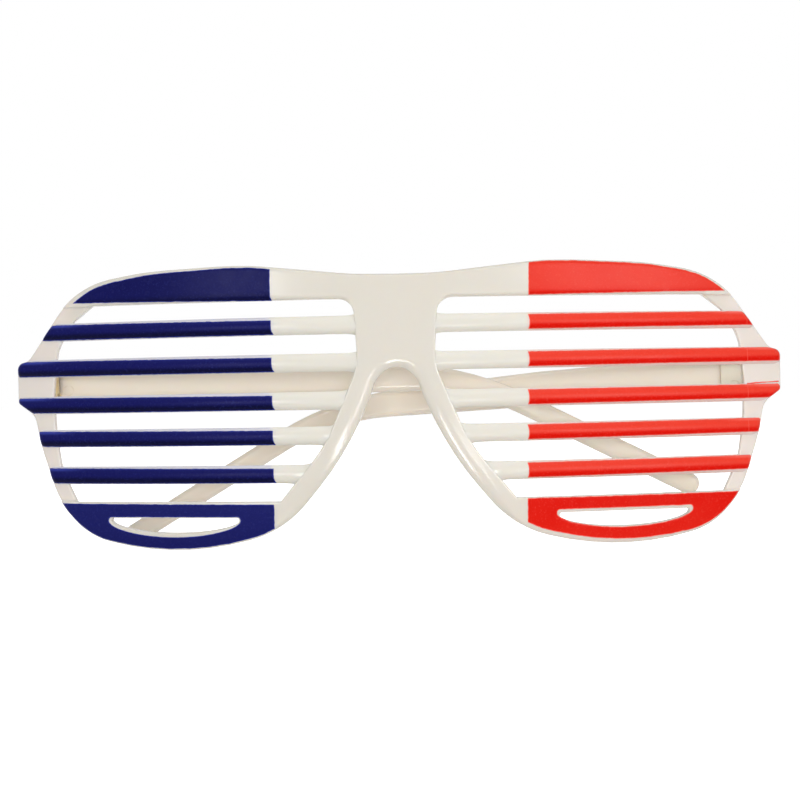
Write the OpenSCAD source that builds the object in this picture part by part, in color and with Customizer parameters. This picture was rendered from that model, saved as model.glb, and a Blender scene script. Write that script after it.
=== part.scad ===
// Party glasses: a louvred front moulded in one piece, with two folding temples.
// Seen from the front: X to the viewer's right, Y away from the viewer, Z up.
// The origin is the top of the nose arch, on the front face.

/* [Front] */
// Width across the two end pieces
front_w = 150; // [144:0.5:158]
// Thickness of the raised parts of the front
front_t = 2.8; // [2.4:0.1:3.4]
// Radius that the front face is wrapped to, about an upright axis behind it
wrap_r = 200; // [170:5:260]
// How far the temple-side rims and end pieces lie below the raised parts
recess = 0.9; // [0.6:0.05:1.2]
// Height of the brow above the louvre openings
brow_h = 6.9; // [5.5:0.1:9]
// Height of the bridge above the louvre openings
bridge_h = 4.5; // [3.5:0.1:6]
// Height of the bottom lip below the louvre openings, at the corners of its outline
lip_h = 10.8; // [9.5:0.1:13]
// Radius of the outline's gentlest bends
bow_r = 60; // [40:1:80]
// Distance from the middle at which the brow reaches its full height
brow_in = 29; // [24:0.5:34]
// Distance of the brow's downward bend from the end of the front
brow_out = 27; // [24:0.5:32]
// Distance of the brow's shoulder from the end of the front
shoulder_out = 12.9; // [11.5:0.1:14]
// Distance of the lip's outer shoulder from the outer edge of the rim
lip_out = 11.3; // [9.5:0.1:12.5]
// Distance of the lip's inner shoulder from the nose gap's side
lip_in = 12.7; // [11:0.1:14]

/* [Louvres] */
// Height of the middle of the top bar above the nose arch
bar_top_z = 8.1; // [7.6:0.1:8.6]
// Spacing of the bars
bar_pitch = 6.95; // [6.6:0.05:7.4]
// Height of one bar
bar_h = 3.4; // [2.8:0.1:3.8]
// Open height above the top bar
top_slot = 3.15; // [2.6:0.05:3.8]
// Open height below the bottom bar
bottom_slot = 3.45; // [2.8:0.05:4]
// How far the rounded face of a bar bulges
bar_crown = 0.8; // [0.5:0.05:1.1]
// How far a bar's crest lies behind the raised face
bar_inset = 0.15; // [0.05:0.05:0.3]
// How far a bar's back lies in front of the back of the front
bar_back = 0.2; // [0.1:0.05:0.5]

/* [Nose] */
// Half the nose gap's width, at the depth that nose_h gives
nose_half = 8.9; // [8.3:0.1:10]
// Depth of that place below the top of the arch
nose_h = 15.2; // [14:0.1:16.5]
// Width of the rim beside the nose
nose_rim = 4.6; // [4:0.1:5.4]
// Half the width of the bridge between the louvre openings
bridge_half = 7.9; // [7.2:0.1:8.6]

/* [End pieces] */
// Height of an end piece
end_h = 7.7; // [7:0.1:8.6]
// How far an end piece stands out from its rim
end_out = 3.7; // [3:0.1:4.6]
// Height of the end pieces' middle above the middle of the gap between bars two and three
end_rise = 0.6; // [0:0.1:1]
// Width of the temple-side rim
rim_w = 4.05; // [3.6:0.05:5]

/* [Lip slots] */
// Distance of the slot's inner end from the nose gap's side
lip_slot_in = 21.25; // [19:0.05:24]
// Distance of the slot's outer end from the outer edge of the rim
lip_slot_out = 15.85; // [14:0.05:20]
// Open height of that slot
lip_slot_h = 2.95; // [2.2:0.05:3.4]
// Wall between a louvre opening and the slot
lip_wall = 2.95; // [2.6:0.05:4]

/* [Hinges] */
// Distance of the hinge line from the outer face of the end piece
hinge_in = 4.9; // [4.6:0.1:5.6]
// Distance of the hinge line behind the back of the front's plate
hinge_back = 3.5; // [3.2:0.1:5]
// Height of the hinge's middle above the middle of the end piece
hinge_rise = -0.2; // [-0.6:0.1:0.4]
// Radius of the front's two lugs round the pin
lug_r = 2.2; // [1.9:0.05:2.3]
// Radius of the temple's tongue round the pin
tongue_r = 2.1; // [1.8:0.05:2.2]
// Height of the temple's tongue
tongue_h = 3; // [2.4:0.1:3.6]
// Gap between the tongue and each lug
tongue_gap = 0.15; // [0.1:0.05:0.3]
// Radius of a hinge pin
pin_r = 0.7; // [0.5:0.05:0.9]
// How far the hinge's root reaches from the lugs towards the middle
root_in = 0.9; // [0.4:0.05:1.2]
// How far the left hinge's root runs on from there, as a ramp
root_ramp = 3.9; // [3:0.1:4.5]
// Running clearance of the pin in the tongue
pin_run = 0.05; // [0.02:0.01:0.09]
// How far a pin's ends lie inside the lugs' faces
pin_sink = 0.25; // [0.1:0.05:0.5]
// Play of both hinges, as a lean of the hinge lines towards the viewer's left, in degrees
hinge_lean = 2.05; // [0:0.05:3]

/* [Temples] */
// Thickness of a temple
temple_t = 2.6; // [2.2:0.1:2.8]
// Height of a temple at its hinge
temple_h = 7.4; // [6.8:0.1:7.8]
// Distance of the temple's butt end from the hinge line
temple_butt = 2.5; // [2.4:0.05:2.9]
// Length from the hinge line to the bend of the ear hook
temple_bend_s = 83.8; // [78:0.2:88]
// Length of the ear hook, along the temple's own direction
hook_s = 45.5; // [40:0.5:48]
// Length over which a temple narrows, before the bend
taper_s = 42; // [30:1:50]
// Slope of the ear hook, in degrees
hook_deg = 28.8; // [24:0.2:34]
// Height of the ear hook, square to its slope
hook_h = 4.15; // [3.4:0.05:4.6]
// Angle between the folded left temple and the glasses' width, in degrees
left_fold = 4.8; // [4.6:0.1:7]
// Gap between a folded or open temple and the front's cheek
cheek_gap = 0.25; // [0.2:0.05:0.4]
// How far the cheek reaches behind the hinge line
cheek_reach = 3.2; // [2.8:0.1:3.6]

/* [Print] */
// Thickness of the printed lacquer
print_t = 0.12; // [0.08:0.01:0.2]
// Distance of the blue print's inner edge from the middle
blue_edge_x = 23.4; // [20:0.1:27]
// Distance of the red print's inner edge from the middle
red_edge_x = 24.6; // [20:0.1:27]
// Bare border along the top of a printed bar
print_top = 0.25; // [0.1:0.05:0.5]
// Bare border along the bottom of a printed bar
print_bottom = 0.45; // [0.1:0.05:0.6]
// Bare border of the blue print along the edge of the brow and of the lip
blue_border = 0.5; // [0.3:0.05:1.2]
// Bare border of the red print along the bottom edge of the lip
red_border = 0.9; // [0.3:0.05:1.2]

/* [Colours] */
plastic_colour = "#f2efe6";
blue_colour = "#1d1f74";
red_colour = "#e6321e";
steel_colour = "#b9bcc0";

/* [Hidden] */

half_w = front_w / 2;
rim_x = half_w - end_out;            // outer edge of the rim beside the end piece
open_x = rim_x - rim_w;              // temple-side edge of the louvre openings
n_bars = 5;
bar_nudge = [0, -0.05, -0.25, 0.15, -0.05];  // the third and fourth bars are set unevenly
bar_z = [for (i = [0:n_bars - 1]) bar_top_z - i * bar_pitch + bar_nudge[i]];
lens_top = bar_z[0] + bar_h / 2 + top_slot;
lens_bottom = bar_z[n_bars - 1] - bar_h / 2 - bottom_slot;
end_z = (bar_z[1] + bar_z[2]) / 2 + end_rise;
end_top = end_z + end_h / 2;
end_bottom = end_z - end_h / 2;
hinge_x = half_w - hinge_in;
hinge_z = end_z + hinge_rise;
far = 2 * half_w;                    // larger than anything in the front's plane
deep = far;                          // deeper than the wrapped front

arc_step = 5;                        // degrees of turn for each facet of a rounded corner
band_span = 60;                      // degrees of the wrap that hold the whole front

// Corner rounding: a list of [x, z, radius] becomes a list of points, with each corner as an arc.
// Where two arcs would overrun the straight between them, both radii shrink to fit.
function flat(p) = [p[0], p[1]];
function unit(v) = v / norm(v);
function turn(a) = a > 180 ? a - 360 : (a < -180 ? a + 360 : a);
function half_angle(a, b, c) = acos(unit(a - b) * unit(c - b)) / 2;
function corner_arc(a, b, c, r) =
    let (u = unit(a - b), v = unit(c - b), half = half_angle(a, b, c),
         centre = b + unit(u + v) * r / sin(half),
         start = b + u * r / tan(half) - centre, end = b + v * r / tan(half) - centre,
         a0 = atan2(start[1], start[0]), da = turn(atan2(end[1], end[0]) - a0),
         n = max(2, ceil(abs(da) / arc_step)))
    [for (i = [0:n]) centre + r * [cos(a0 + da * i / n), sin(a0 + da * i / n)]];
function rounded(corners) =
    let (n = len(corners), p = [for (c = corners) flat(c)],
         run = [for (i = [0:n - 1]) norm(p[(i + 1) % n] - p[i])],
         wish = [for (i = [0:n - 1]) corners[i][2] == 0 ? 0
             : corners[i][2] / tan(half_angle(p[(i + n - 1) % n], p[i], p[(i + 1) % n]))],
         share = [for (i = [0:n - 1]) 0.98 * run[i] / max(wish[i] + wish[(i + 1) % n], 0.001)])
    [for (i = [0:n - 1])
        let (r = corners[i][2] * min(1, share[i], share[(i + n - 1) % n]))
        each r == 0 ? [p[i]]
            : corner_arc(p[(i + n - 1) % n], p[i], p[(i + 1) % n], r)];
function mirrored(points) = [for (i = [len(points) - 2:-1:1]) [-points[i][0], points[i][1]]];

slot_left = nose_half + lip_slot_in;
slot_right = rim_x - lip_slot_out;
lip_mid = (slot_left + slot_right) / 2;

// Right half of the front's outline, from the middle of the bridge round to the nose arch.
half_outline = rounded([
    [0, lens_top + bridge_h, 0],
    [bridge_half, lens_top + bridge_h + 0.1, bow_r],
    [brow_in, lens_top + brow_h, bow_r],
    [half_w - brow_out, lens_top + brow_h - 0.7, bow_r],
    [half_w - shoulder_out, lens_top + brow_h - 3, 18],
    [rim_x - 0.35, end_top + 2.9, 8],
    [half_w - 2.3, end_top + 0.6, 3],
    [half_w, end_top + 0.3, 1.6],
    [half_w, end_bottom + 0.2, 0.8],
    [rim_x + 0.1, end_bottom - 2.3, 4],
    [rim_x - 1.1, end_bottom - 8.3, 30],
    [rim_x - 4.9, lens_bottom - 0.2, 18],
    [rim_x - lip_out, lens_bottom - lip_h + 4.2, 15],
    [lip_mid - 0.8, lens_bottom - lip_h, bow_r],
    [nose_half + lip_in, lens_bottom - lip_h + 5.3, 22],
    [nose_half, -nose_h, bow_r],
    [4.75, -4.7, 20],
    [3.95, -2.35, 4],
    [1.65, 0, 3.4],
    [0, 0, 0],
]);
outline = concat(half_outline, mirrored(half_outline));

// Right louvre opening, which the bars cross.
opening = rounded([
    [bridge_half, lens_top, 3],
    [open_x - 8.5, lens_top, 1.5],
    [open_x - 3.4, lens_top - 3.7, 8],
    [open_x - 0.9, end_top + 2.2, 8],
    [open_x, end_bottom + 2, 30],
    [open_x - 0.25, end_bottom - 5.2, 30],
    [open_x - 1.35, end_bottom - 12.8, 12],
    [open_x - 4.5, lens_bottom, 0],
    [nose_half + nose_rim + 8.7, lens_bottom, 0],
    [nose_half + nose_rim, 0.8 - nose_h, 30],
    [bridge_half - 0.7, 0.5, 12],
]);

// Slot in the right bottom lip: straight along its top, bowed along its bottom.
slot_top = lens_bottom - lip_wall;
slot_half = (slot_right - slot_left) / 2;
slot_end_h = 0.6;                    // height of the slot at its two ends
slot_bow = 1.15;                     // how pointed the bowed bottom is: 1 is an ellipse
function slot_bottom(a) = [
    lip_mid + slot_half * cos(a),
    slot_top - slot_end_h - (lip_slot_h - slot_end_h) * pow(sin(a), slot_bow),
    0,
];
slot_points = rounded(concat(
    [[slot_left, slot_top, 0.5], [slot_right, slot_top, 0.5]],
    [for (a = [0:arc_step:180]) slot_bottom(a)]));

// Front extrusion of a flat shape that is drawn in X and Z.
module through(y0 = -deep, y1 = deep) {
    translate([0, y1, 0]) rotate([90, 0, 0]) linear_extrude(y1 - y0) children();
}

// Turns a section of [radius, z] points along the wrap of the front.
module band(section) {
    translate([0, wrap_r, 0]) rotate([0, 0, -90 - band_span / 2])
        rotate_extrude(angle = band_span, $fn = 360) polygon(section);
}

// Layer of the wrapped front between two depths behind its raised face.
module layer(front, back) {
    r0 = wrap_r - back;
    r1 = wrap_r - front;
    band([[r0, -far], [r1, -far], [r1, far], [r0, far]]);
}

// Depth of the front's back face at a distance from the middle.
function back_y(x) = wrap_r - sqrt(pow(wrap_r - front_t, 2) - x * x);

module both_sides() {
    children();
    mirror([1, 0, 0]) children();
}

// Louvre bars: flat back, rounded face. The face is the arc through crown_r about crown_c.
crown_r = (bar_h * bar_h / 4 + bar_crown * bar_crown) / (2 * bar_crown);
crown_c = wrap_r - bar_inset - crown_r;
print_z0 = -bar_h / 2 + print_bottom;
print_z1 = bar_h / 2 - print_top;
n_face = 8;
print_zs = [for (i = [0:n_face]) print_z0 + (print_z1 - print_z0) * i / n_face];
face_zs = concat([-bar_h / 2], print_zs, [bar_h / 2]);
function crest(z, extra) = crown_c + sqrt((crown_r + extra) * (crown_r + extra) - z * z);
bar_section = concat(
    [[wrap_r - front_t + bar_back, bar_h / 2], [wrap_r - front_t + bar_back, -bar_h / 2]],
    [for (z = face_zs) [crest(z, 0), z]]);
print_section = concat(
    [for (z = print_zs) [crest(z, print_t), z]],
    [for (i = [n_face:-1:0]) [crest(print_zs[i], 0), print_zs[i]]]);

module raised_by(section, z) {
    band([for (p = section) [p[0], p[1] + z]]);
}

// One hinge at the right end of the front, at the hinge line and turned with its lean.
module at_hinge(side) {
    translate([side * hinge_x, hinge_y, hinge_z]) rotate([0, -hinge_lean, 0]) children();
}

hinge_y = back_y(hinge_x) + hinge_back;
lug_h = end_h / 2 - tongue_h / 2 - tongue_gap - 0.2;
lug_z = tongue_h / 2 + tongue_gap;
pin_len = 2 * (lug_z + lug_h - pin_sink);
cheek_x = temple_t / 2 + cheek_gap;
swing_r = tongue_r + 0.4;            // room for the tongue to turn in the end piece
cheek_low = 0.5;                     // the cheek ends this far above the end piece's bottom
cheek_down = 0.7;                    // and this far below its top, inside the rounded corner

// Block behind an end piece: two lugs round the pin, and the cheek that stops the open temple.
module hinge_block(side) {
    reach = hinge_y - back_y(hinge_x) + 1;
    cheek_y = back_y(half_w) - 1;
    cheek_t = hinge_in - cheek_x;
    cheek_h = end_h - cheek_low - cheek_down;
    difference() {
        union() {
            at_hinge(side) {
                for (up = [0, 1]) mirror([0, 0, up]) {
                    translate([0, 0, lug_z]) cylinder(r = lug_r, h = lug_h, $fn = 64);
                    translate([-lug_r, -reach, lug_z]) cube([2 * lug_r, reach, lug_h]);
                }
                translate([-lug_r - (side > 0 ? root_in : 0), -reach, -lug_z - lug_h])
                    cube([2 * lug_r + root_in, reach - cheek_x, 2 * (lug_z + lug_h)]);
                if (side > 0) translate([0, 0, -lug_z - lug_h])
                    linear_extrude(2 * (lug_z + lug_h)) polygon([
                        [-lug_r, -reach], [-lug_r, -cheek_x],
                        [-lug_r - root_in - root_ramp, -cheek_x], [-lug_r - root_in, -reach],
                    ]);
            }
            translate([side > 0 ? hinge_x + cheek_x : -half_w + 0.1, cheek_y, end_bottom + cheek_low])
                cube([cheek_t - 0.1, hinge_y + cheek_reach - cheek_y, cheek_h]);
        }
        at_hinge(side) {
            cylinder(r = swing_r, h = 2 * lug_z, center = true, $fn = 64);
            cylinder(r = pin_r, h = end_h + 4, center = true, $fn = 32);
        }
    }
}

module front_frame() color(plastic_colour) {
    difference() {
        union() {
            difference() {
                intersection() {
                    through() polygon(outline);
                    layer(0, front_t);
                }
                both_sides() through() polygon(opening);
                both_sides() intersection() {
                    through() recess_zone();
                    layer(-1, recess);
                }
            }
            for (z = bar_z) intersection() {
                through() bar_zone();
                raised_by(bar_section, z);
            }
            for (side = [-1, 1]) hinge_block(side);
        }
        both_sides() through() polygon(slot_points);
    }
}

// Flat shapes, drawn in X and Z, that say where the rims are recessed and where the bars run.
module recess_zone() {
    translate([lip_mid, lens_bottom]) square([far, lens_top - lens_bottom]);
}

module bar_zone() {
    intersection() {
        polygon(outline);
        union() for (side = [0, 1]) mirror([side, 0])
            translate([nose_half - 1, -far]) square([far, 2 * far]);
    }
}

// Temple, with the hinge line at its origin, pointing along +X with its inner face towards -Y.
bend_top = -0.55;                    // upper edge at the bend, below the hinge's middle
hook_top = bend_top - hook_s * tan(hook_deg);
hook_end = temple_bend_s + hook_s;
tip_r = hook_h / 2 - 0.05;
temple_points = rounded([
    [temple_butt, temple_h / 2, 0.4],
    [temple_bend_s - taper_s, temple_h / 2 - 1.3, bow_r],
    [temple_bend_s, bend_top, bow_r],
    [hook_end, hook_top, tip_r],
    [hook_end - hook_h * sin(hook_deg), hook_top - hook_h * cos(hook_deg), tip_r],
    [temple_bend_s, bend_top - hook_h / cos(hook_deg), 45],
    [temple_butt, -temple_h / 2 - 0.2, 0.4],
]);

module temple() {
    difference() {
        union() {
            through(-temple_t / 2, temple_t / 2) polygon(temple_points);
            translate([0, -temple_t / 2, -tongue_h / 2]) cube([temple_butt + 1, temple_t, tongue_h]);
            cylinder(r = tongue_r, h = tongue_h, center = true, $fn = 64);
        }
        cylinder(r = pin_r + pin_run, h = tongue_h + 1, center = true, $fn = 48);
    }
}

module right_temple() color(plastic_colour) at_hinge(-1) temple();

module left_temple() color(plastic_colour)
    at_hinge(1) rotate([0, 0, -left_fold]) mirror([1, 0, 0]) temple();

module hinge_pin(side) color(steel_colour)
    at_hinge(side) cylinder(r = pin_r, h = pin_len, center = true, $fn = 32);

// Print. Side is -1 for the blue third and 1 for the red third.
function edge_x(side) = side < 0 ? blue_edge_x : red_edge_x;

module print_side(side) {
    mirror([side < 0 ? 1 : 0, 0, 0]) children();
}

module print_layer(side) {
    print_side(side) intersection() {
        through() children();
        layer(-print_t, 0);
    }
}

module print_brow(side) {
    print_layer(side) difference() {
        intersection() {
            translate([-1.2, -blue_border]) polygon(outline);
            translate([edge_x(side), lens_top + print_top]) square([far, far]);
        }
        polygon(opening);
    }
}

module print_lip(side) {
    border = side < 0 ? blue_border : red_border;
    print_layer(side) difference() {
        intersection() {
            polygon(outline);
            translate([-0.5, border]) polygon(outline);
            translate([edge_x(side), lens_bottom - print_bottom - far]) square([far, far]);
        }
        polygon(slot_points);
    }
}

module print_bar(side, z) {
    print_side(side) intersection() {
        through() intersection() {
            polygon(outline);
            translate([edge_x(side), -far]) square([far, 2 * far]);
        }
        raised_by(print_section, z);
    }
}

module blue_print_brow() color(blue_colour) print_brow(-1);
module blue_print_bar(i) color(blue_colour) print_bar(-1, bar_z[i]);
module blue_print_lip() color(blue_colour) print_lip(-1);
module red_print_brow() color(red_colour) print_brow(1);
module red_print_bar(i) color(red_colour) print_bar(1, bar_z[i]);
module red_print_lip() color(red_colour) print_lip(1);

front_frame();
right_temple();
left_temple();
hinge_pin(-1);  // right_hinge_pin
hinge_pin(1);  // left_hinge_pin
blue_print_brow();
blue_print_bar(0);  // blue_print_bar_1
blue_print_bar(1);  // blue_print_bar_2
blue_print_bar(2);  // blue_print_bar_3
blue_print_bar(3);  // blue_print_bar_4
blue_print_bar(4);  // blue_print_bar_5
blue_print_lip();
red_print_brow();
red_print_bar(0);  // red_print_bar_1
red_print_bar(1);  // red_print_bar_2
red_print_bar(2);  // red_print_bar_3
red_print_bar(3);  // red_print_bar_4
red_print_bar(4);  // red_print_bar_5
red_print_lip();
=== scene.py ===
# %% [markdown]
# # Party glasses with a louvred front
#
# The object is a pair of moulded plastic party glasses. Bars stand in place of the lenses, the left
# third is printed blue and the right third red, and both temples lie folded behind the front.
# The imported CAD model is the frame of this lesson: it says where everything is, in metres.
# Every piece made here is a better looking version of a CAD solid, in the same place.

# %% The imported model
import math

import bmesh
import bpy
import numpy as np
from mathutils import Matrix, Vector
from mathutils.geometry import delaunay_2d_cdt
from mathutils.kdtree import KDTree


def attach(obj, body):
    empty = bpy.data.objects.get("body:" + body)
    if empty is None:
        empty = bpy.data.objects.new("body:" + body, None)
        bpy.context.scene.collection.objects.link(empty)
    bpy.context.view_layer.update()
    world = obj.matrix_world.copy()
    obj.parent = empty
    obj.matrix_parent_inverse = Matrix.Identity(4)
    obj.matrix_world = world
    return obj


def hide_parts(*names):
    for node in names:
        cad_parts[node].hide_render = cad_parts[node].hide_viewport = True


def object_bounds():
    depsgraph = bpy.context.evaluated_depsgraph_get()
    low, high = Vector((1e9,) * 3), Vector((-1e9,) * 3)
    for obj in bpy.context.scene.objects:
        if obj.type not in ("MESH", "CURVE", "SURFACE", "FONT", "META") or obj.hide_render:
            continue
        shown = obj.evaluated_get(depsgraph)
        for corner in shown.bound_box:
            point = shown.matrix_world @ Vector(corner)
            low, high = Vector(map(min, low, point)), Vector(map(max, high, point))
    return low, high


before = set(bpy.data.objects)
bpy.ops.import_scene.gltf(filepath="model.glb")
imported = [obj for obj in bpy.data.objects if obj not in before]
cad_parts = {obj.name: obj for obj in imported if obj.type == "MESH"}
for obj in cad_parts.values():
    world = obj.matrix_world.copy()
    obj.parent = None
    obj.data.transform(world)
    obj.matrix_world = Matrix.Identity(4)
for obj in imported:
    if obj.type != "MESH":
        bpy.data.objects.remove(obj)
cad_box = [list(corner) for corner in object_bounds()]
print("CAD box", [[round(1000 * c, 2) for c in corner] for corner in cad_box])

# %% [markdown]
# ## The sizes
#
# Moulded parts are drawn in millimetres, and so are the shapes in this lesson. A mesh is scaled to
# metres when it becomes an object. X runs to the viewer's right, Y away from the viewer, Z up, and
# the origin is the top of the nose arch. The values repeat those of the CAD source.

# %% Sizes of the front
MM = 0.001
FRONT_W = 150.0
FRONT_T = 2.8
WRAP_R = 200.0
RECESS = 0.9
BROW_H = 6.9
BRIDGE_H = 4.5
LIP_H = 10.8
BOW_R = 60.0
BAR_PITCH = 6.95
BAR_H = 3.4
TOP_SLOT = 3.15
BOTTOM_SLOT = 3.45
BAR_CROWN = 0.8
BAR_INSET = 0.15
BAR_NUDGE = (0.0, -0.05, -0.25, 0.15, -0.05)
NOSE_HALF = 8.9
NOSE_H = 15.2
NOSE_RIM = 4.6
BRIDGE_HALF = 7.9
END_H = 7.7
HALF_W = FRONT_W / 2
RIM_X = HALF_W - 3.7
OPEN_X = RIM_X - 4.05
BAR_Z = [8.1 - i * BAR_PITCH + nudge for i, nudge in enumerate(BAR_NUDGE)]
LENS_TOP = BAR_Z[0] + BAR_H / 2 + TOP_SLOT
LENS_BOTTOM = BAR_Z[-1] - BAR_H / 2 - BOTTOM_SLOT
END_Z = (BAR_Z[1] + BAR_Z[2]) / 2 + 0.6
END_TOP = END_Z + END_H / 2
END_BOTTOM = END_Z - END_H / 2
SLOT_LEFT = NOSE_HALF + 21.25
SLOT_RIGHT = RIM_X - 15.85
SLOT_TOP = LENS_BOTTOM - 2.95
SLOT_H = 2.95
SLOT_SIDE_H = 0.6
SLOT_ROUND = 1.15
LIP_MID = (SLOT_LEFT + SLOT_RIGHT) / 2
print("louvre openings from z", round(LENS_BOTTOM, 2), "to", round(LENS_TOP, 2), "mm")

# %% [markdown]
# ## The camera
#
# The camera comes first, because everything else is judged through it. A pinhole camera was fitted
# to edges of the photograph: it stands 284 mm in front of the bridge, is turned about one degree to
# the left and rolled by about one degree, and its lens is a short telephoto.

# %% Camera
CAMERA_AT = (5.249, -284.315, -3.9)
CAMERA_LEFT = 0.934
CAMERA_DOWN = 0.458
CAMERA_ROLL = -1.094
CAMERA_LENS = 68.65


def add_object(name, data):
    made = bpy.data.objects.new(name, data)
    bpy.context.scene.collection.objects.link(made)
    return made


def make_camera():
    data = bpy.data.cameras.new("photo_camera")
    data.sensor_width = 36.0
    data.lens = CAMERA_LENS
    data.clip_start = 0.01
    camera = add_object("photo_camera", data)
    left = Matrix.Rotation(math.radians(CAMERA_LEFT), 4, "Z")
    down = Matrix.Rotation(math.radians(90 - CAMERA_DOWN), 4, "X")
    roll = Matrix.Rotation(math.radians(CAMERA_ROLL), 4, "Z")
    place = Matrix.Translation(Vector(CAMERA_AT) * MM)
    camera.matrix_world = place @ left @ down @ roll
    bpy.context.scene.camera = camera


make_camera()
bpy.context.scene.view_settings.view_transform = "Standard"
print("camera at", CAMERA_AT, "mm")

# %% [markdown]
# ## Drawing the outlines
#
# A mould is drawn with corners and radii. The function below turns a list of corners, each with the
# radius it is rounded to, into points along the finished line. Where two arcs would overrun the
# straight between them, both radii shrink to fit.

# %% Corners to rounded lines
ARC_STEP = math.radians(4)
STRAIGHT_USED = 0.98
SHORTEST = 0.001
TINY = 1e-9


def unit(v):
    return v / np.linalg.norm(v)


def half_angle(before, corner, after):
    cosine = float(unit(before - corner) @ unit(after - corner))
    return math.acos(max(-1.0, min(1.0, cosine))) / 2


def corner_arc(before, corner, after, radius):
    u, v = unit(before - corner), unit(after - corner)
    half = half_angle(before, corner, after)
    centre = corner + unit(u + v) * radius / math.sin(half)
    start = corner + u * radius / math.tan(half) - centre
    end = corner + v * radius / math.tan(half) - centre
    a0 = math.atan2(start[1], start[0])
    turn = (math.atan2(end[1], end[0]) - a0 + math.pi) % (2 * math.pi) - math.pi
    steps = max(2, math.ceil(abs(turn) / ARC_STEP))
    angles = a0 + turn * np.arange(steps + 1) / steps
    return centre + radius * np.stack([np.cos(angles), np.sin(angles)], 1)


def rounded(corners):
    """The finished line of corners, each with its X, its Z and its radius."""
    points = np.array([c[:2] for c in corners], float)
    after = np.roll(points, -1, 0)
    runs = np.linalg.norm(after - points, axis=1)
    wish = [
        c[2] / math.tan(half_angle(points[i - 1], points[i], after[i])) if c[2] else 0
        for i, c in enumerate(corners)
    ]
    share = STRAIGHT_USED * runs / np.maximum(np.add(wish, np.roll(wish, -1)), SHORTEST)
    line = []
    for i, c in enumerate(corners):
        radius = c[2] * min(1, share[i], share[i - 1])
        line.extend(corner_arc(points[i - 1], points[i], after[i], radius) if radius else [points[i]])
    return np.array(line)


def ordered(loop, counter_clockwise):
    x, z = loop.T
    area = np.sum(x * np.roll(z, -1) - np.roll(x, -1) * z) / 2
    return loop if (area > 0) == counter_clockwise else loop[::-1]


def evenly(loop, spacing):
    """The same closed line with its points about spacing apart."""
    closed = np.vstack([loop, loop[:1]])
    along = np.concatenate([[0], np.cumsum(np.linalg.norm(np.diff(closed, axis=0), axis=1))])
    places = np.linspace(0, along[-1], max(8, round(along[-1] / spacing)), endpoint=False)
    return np.stack([np.interp(places, along, closed[:, k]) for k in (0, 1)], 1)


# %% [markdown]
# ## The front's drawing
#
# The real front is one flat drawing, cut through by two louvre openings and two slots in the lips,
# and wrapped round the face. Both sides are alike, so one half is drawn and mirrored. The bars
# aren't in the drawing, because they are crowned and come later.

# %% Outline, louvre openings and lip slots
half_outline = rounded([
    (0, LENS_TOP + BRIDGE_H, 0),
    (BRIDGE_HALF, LENS_TOP + BRIDGE_H + 0.1, BOW_R),
    (29, LENS_TOP + BROW_H, BOW_R),
    (HALF_W - 27, LENS_TOP + BROW_H - 0.7, BOW_R),
    (HALF_W - 12.9, LENS_TOP + BROW_H - 3, 18),
    (RIM_X - 0.35, END_TOP + 2.9, 8),
    (HALF_W - 2.3, END_TOP + 0.6, 3),
    (HALF_W, END_TOP + 0.3, 1.6),
    (HALF_W, END_BOTTOM + 0.2, 0.8),
    (RIM_X + 0.1, END_BOTTOM - 2.3, 4),
    (RIM_X - 1.1, END_BOTTOM - 8.3, 30),
    (RIM_X - 4.9, LENS_BOTTOM - 0.2, 18),
    (RIM_X - 11.3, LENS_BOTTOM - LIP_H + 4.2, 15),
    (LIP_MID - 0.8, LENS_BOTTOM - LIP_H, BOW_R),
    (NOSE_HALF + 12.7, LENS_BOTTOM - LIP_H + 5.3, 22),
    (NOSE_HALF, -NOSE_H, BOW_R),
    (4.75, -4.7, 20),
    (3.95, -2.35, 4),
    (1.65, 0, 3.4),
    (0, 0, 0),
])
outline = np.vstack([half_outline, half_outline[-2:0:-1] * (-1, 1)])
opening = rounded([
    (BRIDGE_HALF, LENS_TOP, 3),
    (OPEN_X - 8.5, LENS_TOP, 1.5),
    (OPEN_X - 3.4, LENS_TOP - 3.7, 8),
    (OPEN_X - 0.9, END_TOP + 2.2, 8),
    (OPEN_X, END_BOTTOM + 2, 30),
    (OPEN_X - 0.25, END_BOTTOM - 5.2, 30),
    (OPEN_X - 1.35, END_BOTTOM - 12.8, 12),
    (OPEN_X - 4.5, LENS_BOTTOM, 0),
    (NOSE_HALF + NOSE_RIM + 8.7, LENS_BOTTOM, 0),
    (NOSE_HALF + NOSE_RIM, 0.8 - NOSE_H, 30),
    (BRIDGE_HALF - 0.7, 0.5, 12),
])
slot_half = (SLOT_RIGHT - SLOT_LEFT) / 2
arc = np.linspace(0, math.pi, 41)
slot_foot = SLOT_TOP - SLOT_SIDE_H - (SLOT_H - SLOT_SIDE_H) * np.sin(arc) ** SLOT_ROUND
lip_slot = rounded([
    (SLOT_LEFT, SLOT_TOP, 0.5),
    (SLOT_RIGHT, SLOT_TOP, 0.5),
    *[(x, z, 0) for x, z in zip(LIP_MID + slot_half * np.cos(arc), slot_foot)],
])
POINT_STEP = 0.3
outline[:, 1] = np.minimum(outline[:, 1], cad_box[1][2] / MM - 0.005)
outer_loop = ordered(evenly(outline, POINT_STEP), True)
hole_loops = []
for hole in (opening, lip_slot):
    for side in (1, -1):
        hole_loops.append(ordered(evenly(hole * (side, 1), POINT_STEP), False))
front_loops = [outer_loop, *hole_loops]
print("outline points", len(outer_loop), "hole points", [len(loop) for loop in hole_loops])

# %% [markdown]
# ## A moulded plate from a flat drawing
#
# A moulding of even thickness is two skins over the same flat drawing, joined by walls. Bevelling
# such a shape with a modifier breaks down at its tight corners, so the rounded edges come from a
# rule instead: the closer a point of the skin is to the drawing's edge, the deeper it lies, along a
# quarter circle. The rule needs each point's distance from the nearest edge.


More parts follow.
